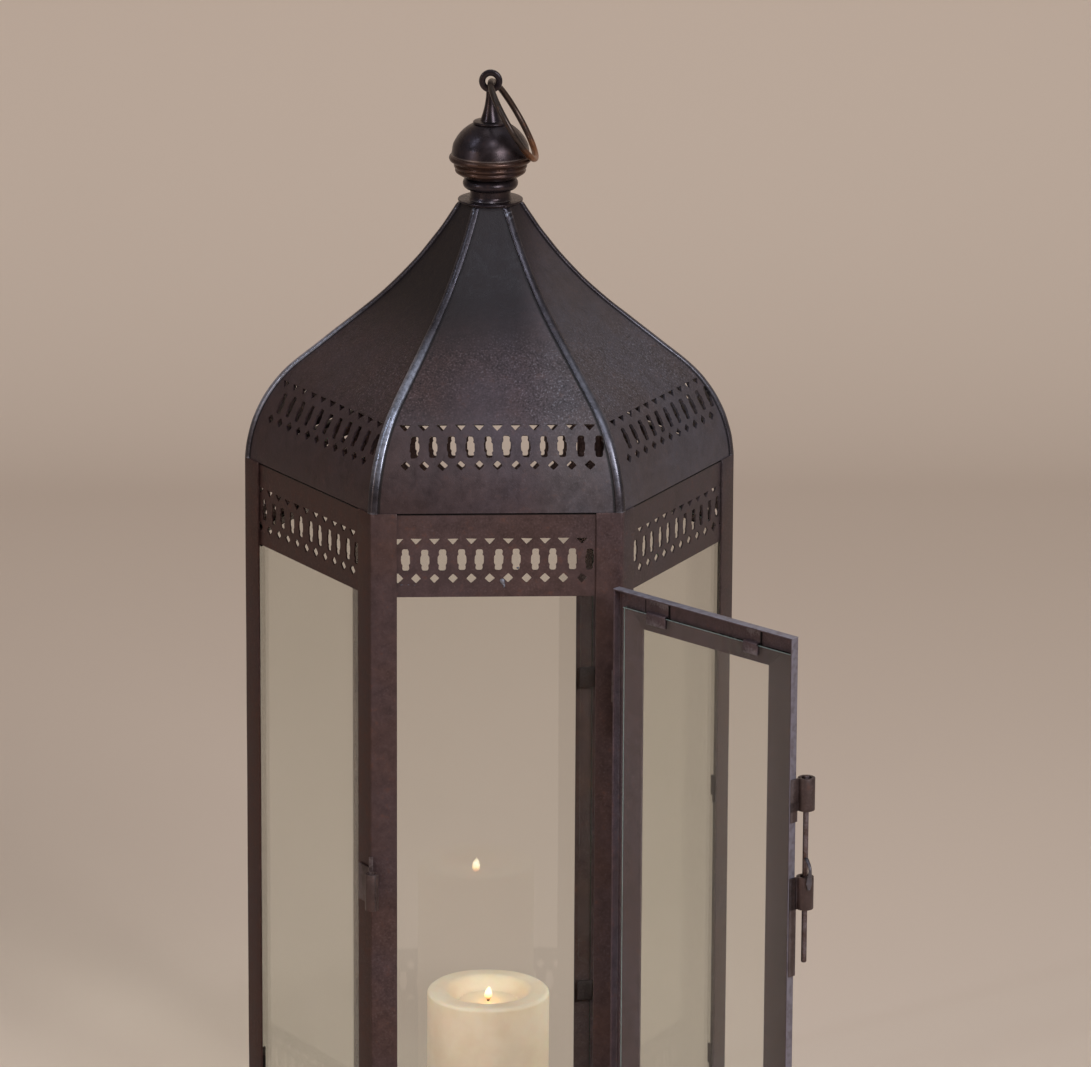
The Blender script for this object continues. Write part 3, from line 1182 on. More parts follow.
def doorMember(name, edge, node):
    # A folded L carried along one side of the tray, its ends cut on the mitre
    width, tall = 2 * doorHalf, doorHigh - doorLow
    length = width if edge % 2 == 0 else tall
    t = door["sheet"]
    face = door["face"] if edge != 2 else door["fold"]
    section = roundCorners([[0, door["depth"]], [0, 0], [face, 0], [face, t], [t, t],
                            [t, door["depth"]]], [0.35, 1.5, 0.35, 0.35, 0.5, 0.35] if edge != 2 else
                           [0.35, 1.5, 0.0, 0.0, 0.2, 0.35], 5)
    share = np.r_[0, np.linspace(0.002, 0.998, 38), 1][:, None]
    start = section[None, :, 0] + door["seam"] / 2
    along = start + share * (length - 2 * start)
    grid = np.stack(np.broadcast_arrays(along, section[None, :, 0], section[None, :, 1]), -1)
    count = len(section)
    caps = np.stack([np.arange(count)[::-1], 39 * count + np.arange(count)])
    points = grid.reshape(-1, 3) - [length / 2, (tall if edge % 2 == 0 else width) / 2, 0]
    points = turned(points, -math.pi / 2 * edge)
    shut = np.stack([-points[:, 0], doorFront + points[:, 2], (doorLow + doorHigh) / 2 + points[:, 1]], -1)
    thing = putMesh(name, openDoor(shut * mm), gridQuads(40, count, False, True), caps)
    if edge == 2:
        thing = join(name, [markEdges(thing), railFace()])
    return dress(thing, "door", doorPaint, "door_paint", node)


def railFace():
    # The top rail's flat face, a mitred sheet with a narrow slit beside each clip
    inset = np.array([door["fold"], door["face"]])
    halves, heights = doorHalf - inset - door["seam"] / 2, doorHigh - inset
    corners = np.array([[-halves[1], heights[1]], [halves[1], heights[1]], [halves[0], heights[0]],
                        [-halves[0], heights[0]]])
    share = np.linspace(0, 1, 30, endpoint=False)[:, None]
    outline = np.concatenate([a + (b - a) * share for a, b in zip(corners, np.roll(corners, -1, 0))])
    w = door["slitWidth"] / 2
    low, high = -door["slitLow"], -door["slitHigh"]
    slot = np.array([[-w, low], [w, low], [w, high], [-w, high]])
    holes = [slot + [x, doorHigh] for x in door["slits"]]
    across, up = np.meshgrid(np.arange(-doorHalf + 4, doorHalf - 3, 3.5),
                             np.arange(-18.5, -3, 3.0) + doorHigh)
    fill = np.stack([across, up], -1).reshape(-1, 2)

    def surface(flat):
        return openDoor(np.stack([flat[:, 0], np.full(len(flat), doorFront), flat[:, 1]], -1) * mm) / mm

    def normal(flat):
        return turned(np.broadcast_to([0.0, -1.0, 0.0], (len(flat), 3)), openAngle)

    return piercedSheet("railFace", outline, holes, fill, surface, normal, door["sheet"])


doorMember("doorBottomRail", 0, "door_bottom_rail")
doorMember("doorHingeStile", 1, "door_hinge_stile")
doorMember("doorTopRail", 2, "door_top_rail")
doorMember("doorLatchStile", 3, "door_latch_stile")


def doorPane():
    t = door["sheet"]
    low = np.array([doorFront + t, -doorHalf + t, doorLow + t]) * mm
    high = np.array([doorFront + t + door["glass"], doorHalf - t - door["glassSide"],
                     doorHigh - t - door["glassTop"]]) * mm
    thing = glassSlab("doorPane", low, high, door["paneArris"])
    moved(thing, lambda points: openDoor(points[:, [1, 0, 2]]))
    dress(tidyMesh(thing, 20), "door", [paneGlass, paneEdge, arrisGlass], "door_pane_glass", "door_glass")
    return edgeGlass(thing)


doorPane()


def bentStrip(name, path, thickness, width, bendCut=0.9):
    # A strip's side outline in (depth, height), raised by its width along x
    line = roundCorners(path, bendCut, 5, closed=False)
    outline = roundCorners(ribbon(line, thickness), 0.2, 2)
    return prism(name, outline, -width / 2, width / 2, 0.2)


def doorClips():
    # Two strips over the pane's top edge and two short tabs behind its foot
    t, pane = door["clipSheet"], door["glass"]
    faceY = doorFront + door["sheet"]
    topEdge = doorHigh - door["sheet"] - door["glassTop"]
    lowEdge = doorLow + door["sheet"]
    pieces = []
    for sign, wide in zip((-1, 1), door["clipWidths"]):
        x = sign * (doorHalf - door["clipInset"])
        upper = [[t / 2, topEdge + 8.6], [t / 2, topEdge + 0.9], [pane + t / 2 + 0.1, topEdge + 0.9],
                 [pane + t / 2 + 0.1, topEdge - door["clipReach"]]]
        lower = [[pane + t / 2 + 0.1, lowEdge], [pane + t / 2, lowEdge + 1.5],
                 [pane + t / 2 + 0.1, lowEdge + door["clipReach"]]]
        for path in (upper, lower):
            strip = bentStrip("strip", path, t, wide)

            def settle(points, x=x):
                local = points / mm
                return openDoor(np.stack([local[:, 2] + x, faceY + local[:, 0], local[:, 1]], -1) * mm)

            pieces.append(moved(strip, settle))
    thing = tidyMesh(join("doorClips", pieces))
    return dress(thing, "door", doorPaint, "clip_paint", "door_clips")


doorClips()
print("door made")

paneClip = {"sheet": 1.0, "height": 13.0, "reach": 8.0, "low": 112.0,
            "high": (456.0, 289.0, 323.0, 323.0, 456.0, 456.0), "ledgeGap": 70.0, "ledgeWidth": 12.0}


def paneClips():
    # At each post a folded tab runs from the corner over the panes on both sides; ledges carry the glass
    t = paneClip["sheet"]
    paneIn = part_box("glass_pane_4")[0].y / mm
    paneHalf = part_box("glass_pane_4")[1].x / mm
    clipMiddle = paneIn - t / 2
    seam = clipMiddle / math.cos(halfTurn)
    reach = paneIn * math.tan(halfTurn) - paneHalf + paneClip["reach"]
    pieces = []
    for k in range(1, 7):
        angle = faceAngle(k) + halfTurn
        arms = [1] if k == 1 else [-1] if k == 6 else [-1, 1]
        for z in (paneClip["low"], paneClip["high"][k - 1]):
            for arm in arms:
                turn = arm * halfTurn
                corner = np.array([seam, 0])
                tip = corner + reach * np.array([-math.sin(abs(turn)), arm * math.cos(turn)])
                root = np.array([side / mm - post["thickness"] / math.cos(halfTurn) - 0.3, arm * 0.25])
                path = [root, corner + [0.2, arm * 0.25], tip]
                line = roundCorners(path, 0.8, 4, closed=False)
                outline = roundCorners(ribbon(line, t), 0.25, 2)
                strip = prism("strip", outline, z - paneClip["height"] / 2, z + paneClip["height"] / 2, 0.2)
                pieces.append(moved(strip, lambda points, angle=angle: turned(points, angle)))
    ledgeTop = sillHeight / mm - glass["lapUp"]
    for k in range(2, 7):
        angle = faceAngle(k)
        for sign in (-1, 1):
            path = [[bandIn / mm, ledgeTop - t / 2], [paneIn - t / 2, ledgeTop - t / 2],
                    [paneIn - t / 2, ledgeTop + paneClip["reach"] / 2]]
            strip = bentStrip("strip", path, t, paneClip["ledgeWidth"])

            def settle(points, sign=sign, angle=angle):
                local = points / mm
                middle = sign * paneClip["ledgeGap"] / 2
                return turned(np.stack([local[:, 0], local[:, 2] + middle, local[:, 1]], -1) * mm, angle)

            pieces.append(moved(strip, settle))
    thing = tidyMesh(join("paneClips", pieces))
    return dress(thing, "lantern", clipPaint, "clip_paint", "pane_clips")


paneClips()
print("pane clips made")

hinge = {
    "radius": 5.2, "length": 20.0, "sheet": 2.1, "leaf": 1.3, "reach": 13.0, "pin": 2.0, "gap": 0.6,
    "inset": 60.0, "bolt": 1.65, "guideHeight": 367.0, "guideSpace": 41.0, "longLeaf": 61.0,
    "keeperRadius": 4.1, "keeperLength": 23.0, "keeperDrop": 13.5, "tangUp": 6.8, "boltShort": 3.0,
    "boltHead": 1.0,
}
axisX, axisY = side / mm / 2, hingeAxis[1] / mm
levels = [sillHeight / mm + hinge["inset"], headHeight / mm - hinge["inset"]]


def rolledBarrel(name, x, radius, low, high, seam, sheet=None):
    # Sheet rolled round the axis, its two edges meeting in a fine seam at the given angle
    sheet = sheet or hinge["sheet"]
    line = arc((x, axisY), radius - sheet / 2, seam + 1.5, seam + 358.5, 60)
    return prism(name, roundCorners(ribbon(line, sheet), 0.12, 2), low, high, 0.35, strip=True)


def postLeaf(sign, radius, low, high):
    # A leaf that lies on the post's flank and bends forward to the barrel
    t = hinge["leaf"]
    flank = np.array([math.sin(halfTurn), math.cos(halfTurn)])
    away = np.array([math.cos(halfTurn), -math.sin(halfTurn)])
    corner = np.array([axisX, -apothem / mm])
    path = [corner + hinge["reach"] * flank + away * t / 2, corner + away * t / 2 + [0.25, 0],
            [axisX + 0.25 + t / 2, axisY + radius * 0.8]]
    outline = ribbon(roundCorners(path, 1.4, 6, closed=False), t) * [sign, 1]
    return prism("leaf", roundCorners(outline, 0.25, 2), low, high, 0.25)


def doorLeaf(sign, low, high, forward):
    x = doorHalf + hinge["leaf"] / 2
    end = axisY + hinge["radius"] * 0.5 if forward else doorFront + 0.4
    line = np.array([[x, doorBack - 0.3], [x, (doorBack + end) / 2], [x, end]])
    outline = ribbon(line * [sign, 1], hinge["leaf"])
    return prism("leaf", roundCorners(outline, 0.25, 2), low, high, 0.25)


def weldBead(x, forward, low, high, radius, seed):
    # A short irregular upright bead, forward of the barrel's axis: a tube whose radius varies along it
    rough = np.random.default_rng(seed)
    a, b = np.array([x, axisY + forward, low + 1]), np.array([x, axisY + forward, high - 1])
    share = np.linspace(0, 1, 24)
    path = a + (b - a) * share[:, None]
    swell = radius * (0.75 + 0.25 * np.sin(share * 40 + seed) * rough.uniform(0.6, 1.0, 24))
    swell = swell * np.sqrt(np.maximum(1 - (2 * share - 1) ** 8, 0.04))
    section = circleSection(1.0, 12)[None] * swell[:, None, None]
    way = (b - a) / np.linalg.norm(b - a)
    binormal = np.cross(way, [0.3, 1.0, 0.2])
    return sweep("bead", path, section, binormal)


def hingePieces():
    posts, doors, pins = [], [], []
    for number, z in enumerate(levels):  # lower and upper hinge
        low, high = z - hinge["length"], z - hinge["gap"] / 2
        posts += [rolledBarrel("roll", axisX, hinge["radius"], low, high, 200),
                  postLeaf(1, hinge["radius"], low, high),
                  weldBead(axisX + 1.4, 5.0, low, high, 0.7, number)]
        low, high = z + hinge["gap"] / 2, z + hinge["gap"] / 2 + hinge["length"]
        doors += [rolledBarrel("roll", axisX, hinge["radius"], low, high, 330), doorLeaf(1, low, high, True),
                  weldBead(doorHalf + 0.2, 4.8, low, high, 0.6, 5 + number)]
        top = z + hinge["length"] + hinge["gap"]
        pin = hinge["pin"]
        foot = z - hinge["length"]
        profile = [[0, foot], [pin - 0.3, foot], [pin, foot + 0.3], [pin, top], [pin + 1.1, top],
                   [pin + 1.6, top + 0.5], [pin + 1.4, top + 1.4], [pin, top + 1.9], [0, top + 2.0]]
        shaft = lathe("pin", profile, 40)
        pins.append(moved(shaft, lambda points: points + np.array([axisX, axisY, 0]) * mm))
    fixed = tidyMesh(join("hingePostBarrels", posts))
    dress(fixed, "lantern", hingePaint, "hinge_paint", "hinge_post_barrels")
    opened = moved(join("hingeDoorBarrels", doors), openDoor)
    dress(tidyMesh(opened), "door", hingePaint, "hinge_paint", "hinge_door_barrels")
    dress(tidyMesh(join("hingePins", pins)), "lantern", hingePaint, "hinge_paint", "hinge_pins")


hingePieces()


def boltPieces():
    high = hinge["guideHeight"]
    low = high - hinge["length"] - hinge["guideSpace"]
    half = hinge["length"] / 2
    guides = []
    for z, leafLow in ((high, high - half - hinge["reach"] / 2), (low, low + half - hinge["longLeaf"])):
        top = z - half + hinge["reach"] / 2 if z == high else z + half
        guides += [rolledBarrel("roll", -axisX, hinge["radius"], z - half, z + half, 215),
                   doorLeaf(-1, z - half, z + half, True), doorLeaf(-1, leafLow, top, False),
                   weldBead(-doorHalf - 0.4, 4.8, z - half, z + half, 0.6, 21)]
    opened = moved(join("boltGuides", guides), openDoor)
    dress(tidyMesh(opened), "door", hingePaint, "bolt_paint", "bolt_guides")
    keeper = low - half - hinge["keeperDrop"] - hinge["keeperLength"] / 2
    radius, length = hinge["keeperRadius"], hinge["keeperLength"]
    back = -apothem / mm
    tang = np.array([[-76.55, back - 1.3], [-74.05, back - 1.3], [-74.05, back], [-76.55, back]])
    holder = [rolledBarrel("roll", -axisX, radius, keeper - length / 2, keeper + length / 2, 300, 1.6),
              postLeaf(-1, radius, keeper - length / 2, keeper + length / 2),
              prism("tang", roundCorners(tang, 0.4, 3), keeper - length / 2,
                    keeper + length / 2 + hinge["tangUp"], 0.3)]
    dress(tidyMesh(join("boltKeeper", holder)), "lantern", hingePaint, "bolt_paint", "bolt_keeper")
    return keeper, low, high, half


keeperHeight, guideLow, guideHigh, guideHalf = boltPieces()

# The handle's middle line as (distance from the rod's axis, height over its rest), and its width along it
handle = {
    "line": ((0.2, 10.9), (2.3, 10.9), (6.7, 8.0), (7.75, 5.3),
             (7.4, 2.6), (6.7, 0.4), (6.75, -3.2), (6.15, -7.0)),
    "wide": (2.6, 2.4, 2.0, 2.0, 2.4, 3.2, 3.7, 1.6),
    "thick": (1.9, 1.9, 1.9, 1.9, 1.9, 1.7, 1.4, 0.8),
    "turn": 155.0,
    "rest": 0.2,
}


def dropBolt():
    # A round rod; its handle, flattened out of it, bulges over the lower barrel and hangs down as a leaf
    foot = keeperHeight - hinge["keeperLength"] / 2 + hinge["boltShort"]
    head = guideHigh + guideHalf + hinge["boltHead"]
    r = hinge["bolt"]
    profile = [[0, foot], [r - 0.5, foot], [r, foot + 0.6], [r, head - 0.4], [r - 0.4, head], [0, head]]
    rod = lathe("rod", profile, 32)
    line = np.array(handle["line"]) + [0, guideLow + guideHalf + handle["rest"]]
    path = roundCorners(line, 1.6, 5, closed=False)
    reach = np.r_[0, np.cumsum(np.linalg.norm(np.diff(line, axis=0), axis=1))]
    along = np.r_[0, np.cumsum(np.linalg.norm(np.diff(path, axis=0), axis=1))]
    share = along / along[-1] * reach[-1]
    wide = np.interp(share, reach, handle["wide"]) / 2
    deep = np.interp(share, reach, handle["thick"]) / 2
    circle = circleSection(1.0, 20)
    section = np.stack([circle[None, :, 0] * deep[:, None], circle[None, :, 1] * wide[:, None]], -1)
    bent = sweep("handle", np.stack([path[:, 0], 0 * path[:, 0], path[:, 1]], -1), section, (0, 1, 0))
    moved(bent, lambda points: turned(points, math.radians(handle["turn"])))
    bent.data.materials.append(None)
    bent.data.materials.append(None)
    bent.data.polygons.foreach_set("material_index", np.ones(len(bent.data.polygons), np.int32))
    thing = join("dropBolt", [rod, bent])
    moved(thing, lambda points: openDoor(points + np.array([-axisX, axisY, 0]) * mm))
    return dress(tidyMesh(thing), "bolt", [boltPaint, handlePaint], "bolt_paint", "drop_bolt")


dropBolt()
print("hinges and bolt made")

finial = {
    "plate": 19.8, "plateThick": 1.2, "neck": 12.3, "neckHigh": 6.2, "ring": 16.8, "ringSection": 3.5,
    "bowl": 22.2, "bowlHigh": 10.0, "dome": 23.2, "cap": 24.6, "capDrop": 1.0, "bead": 2.0, "hole": 2.8,
    "foot": 10.7, "footThick": 1.7, "spikeBase": 6.4, "spikeTip": 2.7, "spikeHigh": 26.2,
    "eyeWire": 1.95, "eyeFlat": 1.5, "eyeHole": 3.2,
}


def finialPlate():
    f, t = finial, finial["plateThick"]
    edge = arc((f["plate"] - t / 2, t / 2), t / 2, -90, 90, 10)
    profile = np.concatenate([[[f["hole"], 0]], edge, [[f["hole"], t]]])
    thing = lathe("finialPlate", profile, closed=True, low=plateLow)
    return dress(thing, "lantern", finialPaint, "finial_paint", "finial_plate")


def finialNeck():
    f = finial
    high, mid, s = f["neckHigh"], f["neckHigh"] + f["ringSection"], f["ringSection"]
    foot = [[f["neck"] + 1.2, 0], [f["neck"], 1.6], [f["neck"], high - 0.6]]
    foot = roundCorners(foot, 1.0, 5, closed=False)
    torus = arc((f["ring"] - s, mid), s, -78, 84, 22)
    profile = np.concatenate([[[f["hole"], 0]], foot, torus, [[f["hole"], high + 2 * s]]])
    thing = lathe("finialNeck", profile, closed=True, low=neckLow)
    return dress(thing, "lantern", finialPaint, "finial_paint", "finial_neck")


def finialBowl():
    # Spun sheet: two soft steps under the dome's bead, each a rounded groove and swell
    f, h, r = finial, finial["bowlHigh"], finial["bowl"]
    steps = [[13.3, 0], [16.8, 0.6], [r - 1.0, h * 0.34], [r - 0.5, h * 0.46], [r - 1.3, h * 0.56],
             [r, h * 0.66], [r + 0.1, h * 0.80], [r - 0.7, h * 0.88], [r + 0.4, h * 0.96], [r + 0.4, h]]
    outside = roundCorners(steps, 1.0, 5, closed=False)
    inside = outside[outside[:, 1] > 1.6] - [1.2, 0]
    profile = np.concatenate([[[f["hole"], 0]], outside, inside[::-1], [[13.3, 1.2], [f["hole"], 1.2]]])
    thing = lathe("finialBowl", profile, closed=True, low=bowlLow)
    return dress(thing, "lantern", finialPaint, "finial_paint", "finial_bowl")


def finialDome():
    # A bead, a short wall and a round cap up to the spike's foot
    f = finial
    bead = f["bead"]
    capMiddle = bead - f["capDrop"]
    flatHigh = capMiddle + math.sqrt(f["cap"] ** 2 - f["foot"] ** 2)
    join0 = math.degrees(math.acos(f["dome"] / f["cap"]))
    top = math.degrees(math.asin((flatHigh - capMiddle) / f["cap"]))
    beadArc = arc((f["dome"], bead), bead, -90, 72, 16)
    cap = arc((0, capMiddle), f["cap"], join0 + 2, top, 34)
    inner = arc((0, capMiddle), f["cap"] - 1.2, top - 1, join0 + 6, 24)
    profile = np.concatenate([[[f["dome"] - 1.2, 0]], beadArc, cap,
                              [[f["hole"], flatHigh], [f["hole"], flatHigh - 1.2]], inner])
    thing = lathe("finialDome", profile, 160, closed=True, low=domeLow)
    return dress(thing, "lantern", finialPaint, "finial_paint", "finial_dome")


def finialSpike():
    # A rolled foot, a cone with a hollow flare and the eye on top
    f = finial
    t = f["footThick"]
    coneTop = f["spikeHigh"] - f["eyeHole"] - 2 * f["eyeWire"] + 1.4
    share = np.linspace(0, 1, 26)
    cone = np.stack([f["spikeTip"] + (f["spikeBase"] - f["spikeTip"]) * (1 - share) ** 2,
                     t + 0.3 + (coneTop - t - 0.3) * share], -1)
    foot = arc((f["foot"] - t / 2, t / 2), t / 2, -90, 80, 9)
    profile = np.concatenate([[[0, 0]], foot, [[f["spikeBase"] + 1.2, t]], cone, [[0, coneTop]]])
    body = lathe("cone", profile, 72, low=spikeLow)
    angle = np.linspace(0, 2 * math.pi, 64, endpoint=False)
    middle = f["eyeHole"] + f["eyeWire"]
    yaw = np.array([ringAxis[1], -ringAxis[0], 0])
    centre = np.array([0, 0, spikeLow / mm + f["spikeHigh"]])
    path = centre + middle * (np.cos(angle)[:, None] * yaw + np.sin(angle)[:, None] * [0, 0, 1])
    around = circleSection(1.0, 28)
    flat = np.sign(around) * np.abs(around) ** 0.7 * [f["eyeWire"], f["eyeFlat"]]  # a thick washer's section
    eye = sweep("eye", path, flat, ringAxis, closed=True)
    thing = tidyMesh(join("finialSpike", [body, eye]))
    return dress(thing, "lantern", finialPaint, "finial_paint", "finial_spike")


finialPlate()
finialNeck()
finialBowl()
finialDome()
finialSpike()


def crownPlate():
    # A six-cornered plate with rounded edges over the ribs' ends
    low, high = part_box("crown_plate")
    thick = (high.z - low.z) / mm
    corners = high.x / mm * np.stack([np.cos(np.arange(6) * faceTurn), np.sin(np.arange(6) * faceTurn)], -1)
    thing = prism("crownPlate", roundCorners(corners, 1.2, 5), low.z / mm, low.z / mm + thick, 0.4)
    return dress(thing, "lantern", finialPaint, "finial_paint", "crown_plate")


crownPlate()

ring = {"diameter": 53.5, "wire": 3.9, "wave": 0.12}


def carryRing():
    # A round wire bent to a circle, hung in the eye, faintly uneven as bent by hand
    low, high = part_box("carry_ring")
    middle = (np.array(low) + np.array(high)) / 2 / mm
    down = middle - ringPivot / mm
    down = down / np.linalg.norm(down)
    radius = ring["diameter"] / 2
    centre = ringPivot / mm + down * radius
    angle = np.linspace(0, 2 * math.pi, 144, endpoint=False)
    uneven = radius + ring["wave"] * np.sin(3 * angle + 0.5) * np.sin(angle / 2) ** 2
    path = centre - uneven[:, None] * (np.cos(angle)[:, None] * down + np.sin(angle)[:, None] * ringAxis)
    wire = ring["wire"] / 2 * (1 - 0.02 * np.abs(np.sin(5 * angle)))
    section = circleSection(1.0, 28)[None] * wire[:, None, None]
    thing = sweep("carryRing", path, section, np.cross(down, ringAxis), closed=True)
    return dress(thing, "ring", ringPaint, "ring_paint", "carry_ring")


carryRing()
print("finial and ring made")


def candleBody():
    # A moulded pillar: soft foot, rounded rim and a dished pool, its wall and rim faintly uneven
    c, high = candle, (candleTop - candleLow) / mm
    r, poolRadius = c["radius"], c["radius"] - c["rim"]
    foot = arc((r - 1.5, 1.5), 1.5, -90, 0, 6)
    wall = np.stack([np.full(30, r), np.linspace(3, high - c["round"] - 1, 30)], -1)
    rim = arc((r - c["round"], high - c["round"]), c["round"], 0, 90, 9)
    share = np.linspace(0, 1, 48)
    inward = poolRadius * (1 - share)
    slide = np.clip((poolRadius - inward) / (poolRadius - c["melt"] + 2), 0, 1)
    dish = np.stack([inward, high - 0.1 - (c["pool"] - 0.1) * (1 - np.cos(slide * math.pi)) / 2], -1)
    profile = np.concatenate([[[0, 0]], foot, wall, rim, dish])
    thing = lathe("candleBody", profile, 160, low=candleLow)

    def uneven(points):
        angle = np.arctan2(points[:, 1], points[:, 0])
        z = (points[:, 2] - candleLow) / mm
        top = np.clip((z - high + 10) / 10, 0, 1)
        across = np.hypot(points[:, 0], points[:, 1]) / (r * mm)
        sag = top * (0.35 * np.sin(2 * angle + 1) + 0.2 * np.sin(5 * angle)) * across ** 2
        points[:, :2] *= (1 - 0.0025 * (1 + np.sin(3 * angle + z * 0.03)) * across)[:, None]
        points[:, 2] -= mm * (0.3 * top * across ** 2 + sag * 0.5)
        return points

    moved(thing, uneven)
    return dress(thing, "candle", waxPaint, "wax", "candle")


def wick():
    # A charred cord that bends over at its tip
    c = candle
    low = candleTop / mm - c["pool"]
    share = np.linspace(0, 1, 22)
    path = np.stack([0.8 * share ** 3, 0 * share, low - 0.4 + (c["wickHigh"] + 0.2) * share], -1)
    size = c["wick"] * (1 - 0.25 * share ** 4) * (1 + 0.06 * np.sin(share * 40))
    section = circleSection(1.0, 16)[None] * size[:, None, None]
    thing = sweep("wickCord", path, section, (0, 1, 0))
    return dress(thing, "candle", wickPaint, "wick_cotton", "wick")


def flame():
    # A drop: its radius grows as a sine with a square-root foot and tapers to a point
    c = candle
    low = candleTop / mm - c["pool"] + c["flameUp"]
    share = np.linspace(0, 1, 34)
    radius = c["flameWide"] / 2 * np.sqrt(np.clip(share, 0, 1)) * (1 - share) ** 0.85 * 2.05
    profile = np.stack([radius, low + c["flameHigh"] * share], -1)
    profile[0, 0] = profile[-1, 0] = 0
    thing = lathe("flame", profile, 32)
    flameMiddle = low + c["flameHigh"] * 0.4
    moved(thing, lambda points: points + np.stack([0.0006 * ((points[:, 2] / mm - low) / c["flameHigh"]) ** 2,
                                                  0 * points[:, 0], 0 * points[:, 0]], -1))
    dress(thing, "candle", flameMaterial(low * mm, (low + c["flameHigh"]) * mm), "wax")
    return flameMiddle * mm


candleBody()
wick()
flameHeight = flame()
print("candle made")

for name, material in (("floor_plate", postPaint), ("finial_stud", steelPaint), ("finial_nut", steelPaint)):
    mesh = frame["nodes"][name].data
    mesh.materials.clear()
    mesh.materials.append(material)

stage = {"floorHalf": 8.0, "front": -9.0, "wall": 2.2, "high": 3.2, "bend": 0.5}


def backdrop():
    # A level floor that bends up into a wall behind the lantern
    s = stage
    bend = arc((s["wall"] - s["bend"], s["bend"]), s["bend"], -90, 0, 24)
    profile = np.concatenate([[[s["front"], 0.0]], bend, [[s["wall"], s["high"]]]])
    x = np.linspace(-s["floorHalf"], s["floorHalf"], 2)
    grid = np.stack([np.broadcast_to(x[None, :], (len(profile), 2)),
                     np.broadcast_to(profile[:, :1], (len(profile), 2)),
                     np.broadcast_to(profile[:, 1:], (len(profile), 2))], -1)
    mesh = bpy.data.meshes.new("backdrop")
    mesh.from_pydata(grid.reshape(-1, 3).tolist(), [], gridQuads(len(profile), 2).tolist())
    mesh.shade_smooth()
    thing = bpy.data.objects.new("backdrop", mesh)
    bpy.context.scene.collection.objects.link(thing)
    material, tree, shader, where = blankMaterial("paleBackdrop")
    cloud = noise(tree, where, 1.3, 3, 0.5)
    pale = mixColour(tree, cloud, (0.83, 0.68, 0.565, 1), (0.87, 0.72, 0.60, 1))
    rays = addNode(tree, "ShaderNodeLightPath").outputs
    bent = calc(tree, "MAXIMUM", rays["Is Glossy Ray"], rays["Is Transmission Ray"])
    seen = calc(tree, "MAXIMUM", rays["Is Camera Ray"], bent)
    tree.links.new(mixColour(tree, seen, (0.50, 0.42, 0.36, 1), pale), shader.inputs["Base Color"])
    shader.inputs["Roughness"].default_value = 0.9
    shader.inputs["Specular IOR Level"].default_value = 0.1
    # Seen from behind the wall is clear, so the lantern can be looked at from all sides
    behind = addNode(tree, "ShaderNodeNewGeometry").outputs["Backfacing"]
    clear = addNode(tree, "ShaderNodeBsdfTransparent")
    mixShaders(tree, behind, shader, clear)
    mesh.materials.append(material)
    return thing


backdrop()


def areaLight(name, spot, aim, size, power, colour):
    data = bpy.data.lights.new(name, "AREA")
    data.shape = "RECTANGLE"
    data.size, data.size_y = size
    data.energy = power
    data.color = colour
    lamp = bpy.data.objects.new(name, data)
    way = np.array(aim, float) - np.array(spot, float)
    way /= np.linalg.norm(way)
    right = np.cross(way, [0, 0, 1])
    right /= np.linalg.norm(right)
    up = np.cross(right, way)
    matrix = np.eye(4)
    matrix[:3, 0], matrix[:3, 1], matrix[:3, 2], matrix[:3, 3] = right, up, -way, spot
    lamp.matrix_world = Matrix(matrix.tolist())
    bpy.context.scene.collection.objects.link(lamp)
    return lamp


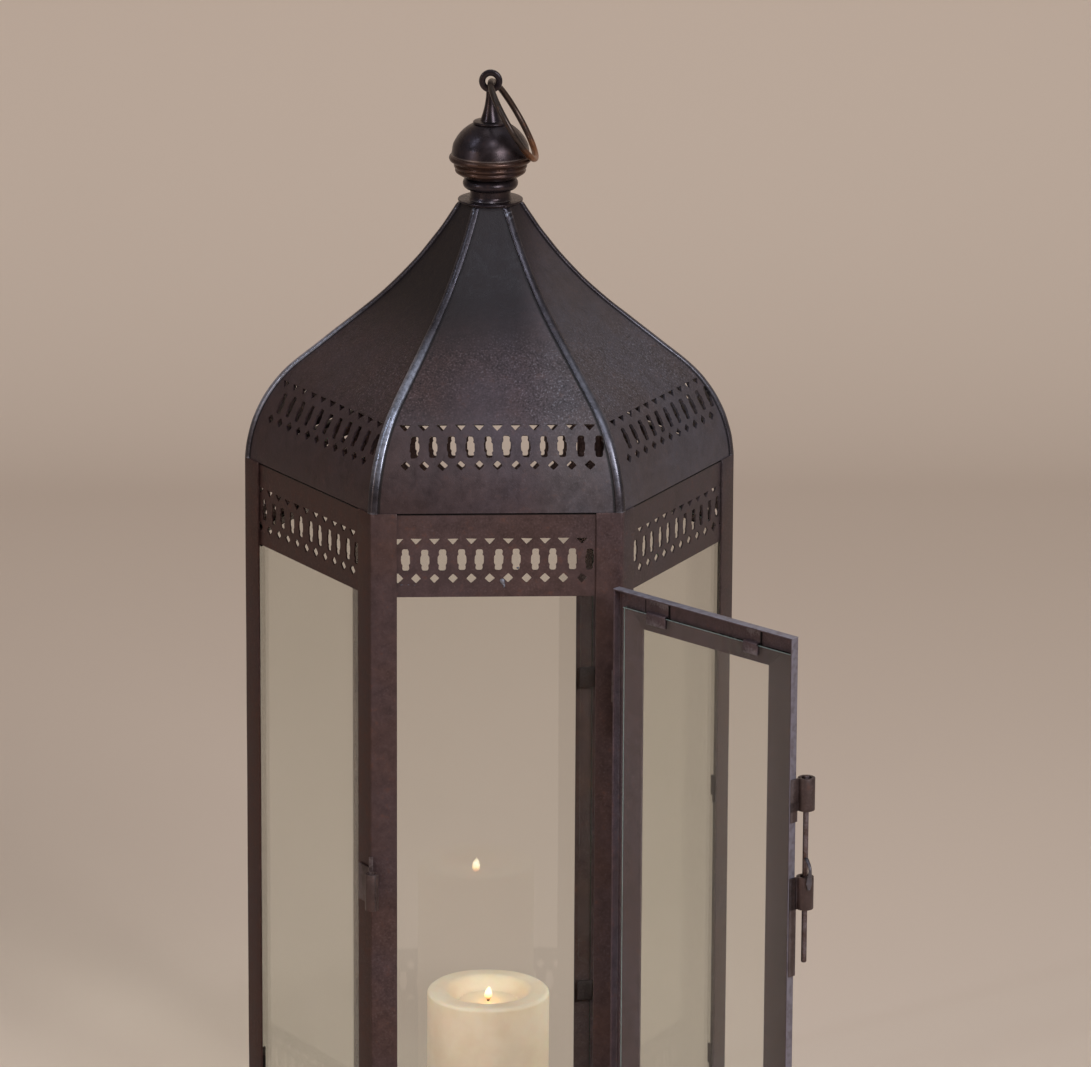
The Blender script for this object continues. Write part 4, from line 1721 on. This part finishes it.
areaLight("keySoft", (1.9, -3.2, 2.3), (0, 0, 0.5), (1.6, 1.6), 92, (0.97, 0.975, 1.0))
areaLight("leftFill", (-2.6, -2.0, 1.2), (0, 0, 0.5), (1.4, 1.8), 11, (1.0, 0.72, 0.48))
areaLight("topSoft", (0.2, 0.3, 3.0), (0, 0, 0.4), (1.4, 1.4), 6, (0.95, 0.97, 1.0))
areaLight("windowStrip", (-2.07, -1.29, 1.49), (0, 0, 0.6), (0.08, 0.9), 6, (0.75, 0.85, 1.0))
areaLight("skyStrip", (-1.56, -0.45, 2.5), (0, 0, 0.6), (0.10, 0.9), 5, (0.75, 0.85, 1.0))
areaLight("glintStrip", (0.25, -1.5, 3.0), (0, 0, 0.58), (0.5, 0.15), 8, (0.85, 0.91, 1.0))
flameLamp = bpy.data.lights.new("flameGlow", "POINT")
flameLamp.energy = 0.002
flameLamp.color = (1.0, 0.62, 0.28)
flameLamp.shadow_soft_size = 0.004
flameObject = bpy.data.objects.new("flameGlow", flameLamp)
flameObject.location = (0.0, 0.0, flameHeight + 0.012)
bpy.context.scene.collection.objects.link(flameObject)
flameObject.visible_glossy = False
flameObject.visible_transmission = False

world = bpy.data.worlds.new("studioAir")
world.use_nodes = True
bpy.context.scene.world = world
air = world.node_tree.nodes["Background"]
air.inputs["Color"].default_value = (1.0, 0.95, 0.89, 1)
air.inputs["Strength"].default_value = 0.18

# The photograph's camera, from a fit to the lantern's corners: place in metres, aim, roll and focal length
shot = {
    "place": (-0.14376, -4.33351, 1.70816),
    "aim": (0.03947161, 0.95982966, -0.27779313),
    "roll": 0.289,
    "focalPixels": 7347.93,
    "imageWidth": 1091,
    "sensor": 36.0,
}


def makeCamera():
    data = bpy.data.cameras.new("photoCamera")
    data.sensor_width = shot["sensor"]
    data.lens = shot["sensor"] * shot["focalPixels"] / shot["imageWidth"]
    data.clip_end = 50
    thing = bpy.data.objects.new("photoCamera", data)
    way = np.array(shot["aim"])
    way = way / np.linalg.norm(way)
    right = np.cross(way, [0, 0, 1])
    right /= np.linalg.norm(right)
    up = np.cross(right, way)
    roll = math.radians(shot["roll"])
    turnedRight = right * math.cos(roll) + up * math.sin(roll)
    turnedUp = -right * math.sin(roll) + up * math.cos(roll)
    matrix = np.eye(4)
    matrix[:3, 0], matrix[:3, 1], matrix[:3, 2], matrix[:3, 3] = turnedRight, turnedUp, -way, shot["place"]
    thing.matrix_world = Matrix(matrix.tolist())
    bpy.context.scene.collection.objects.link(thing)
    bpy.context.scene.camera = thing


makeCamera()
bpy.context.scene.view_settings.view_transform = "Standard"
print("stage, light and camera set")
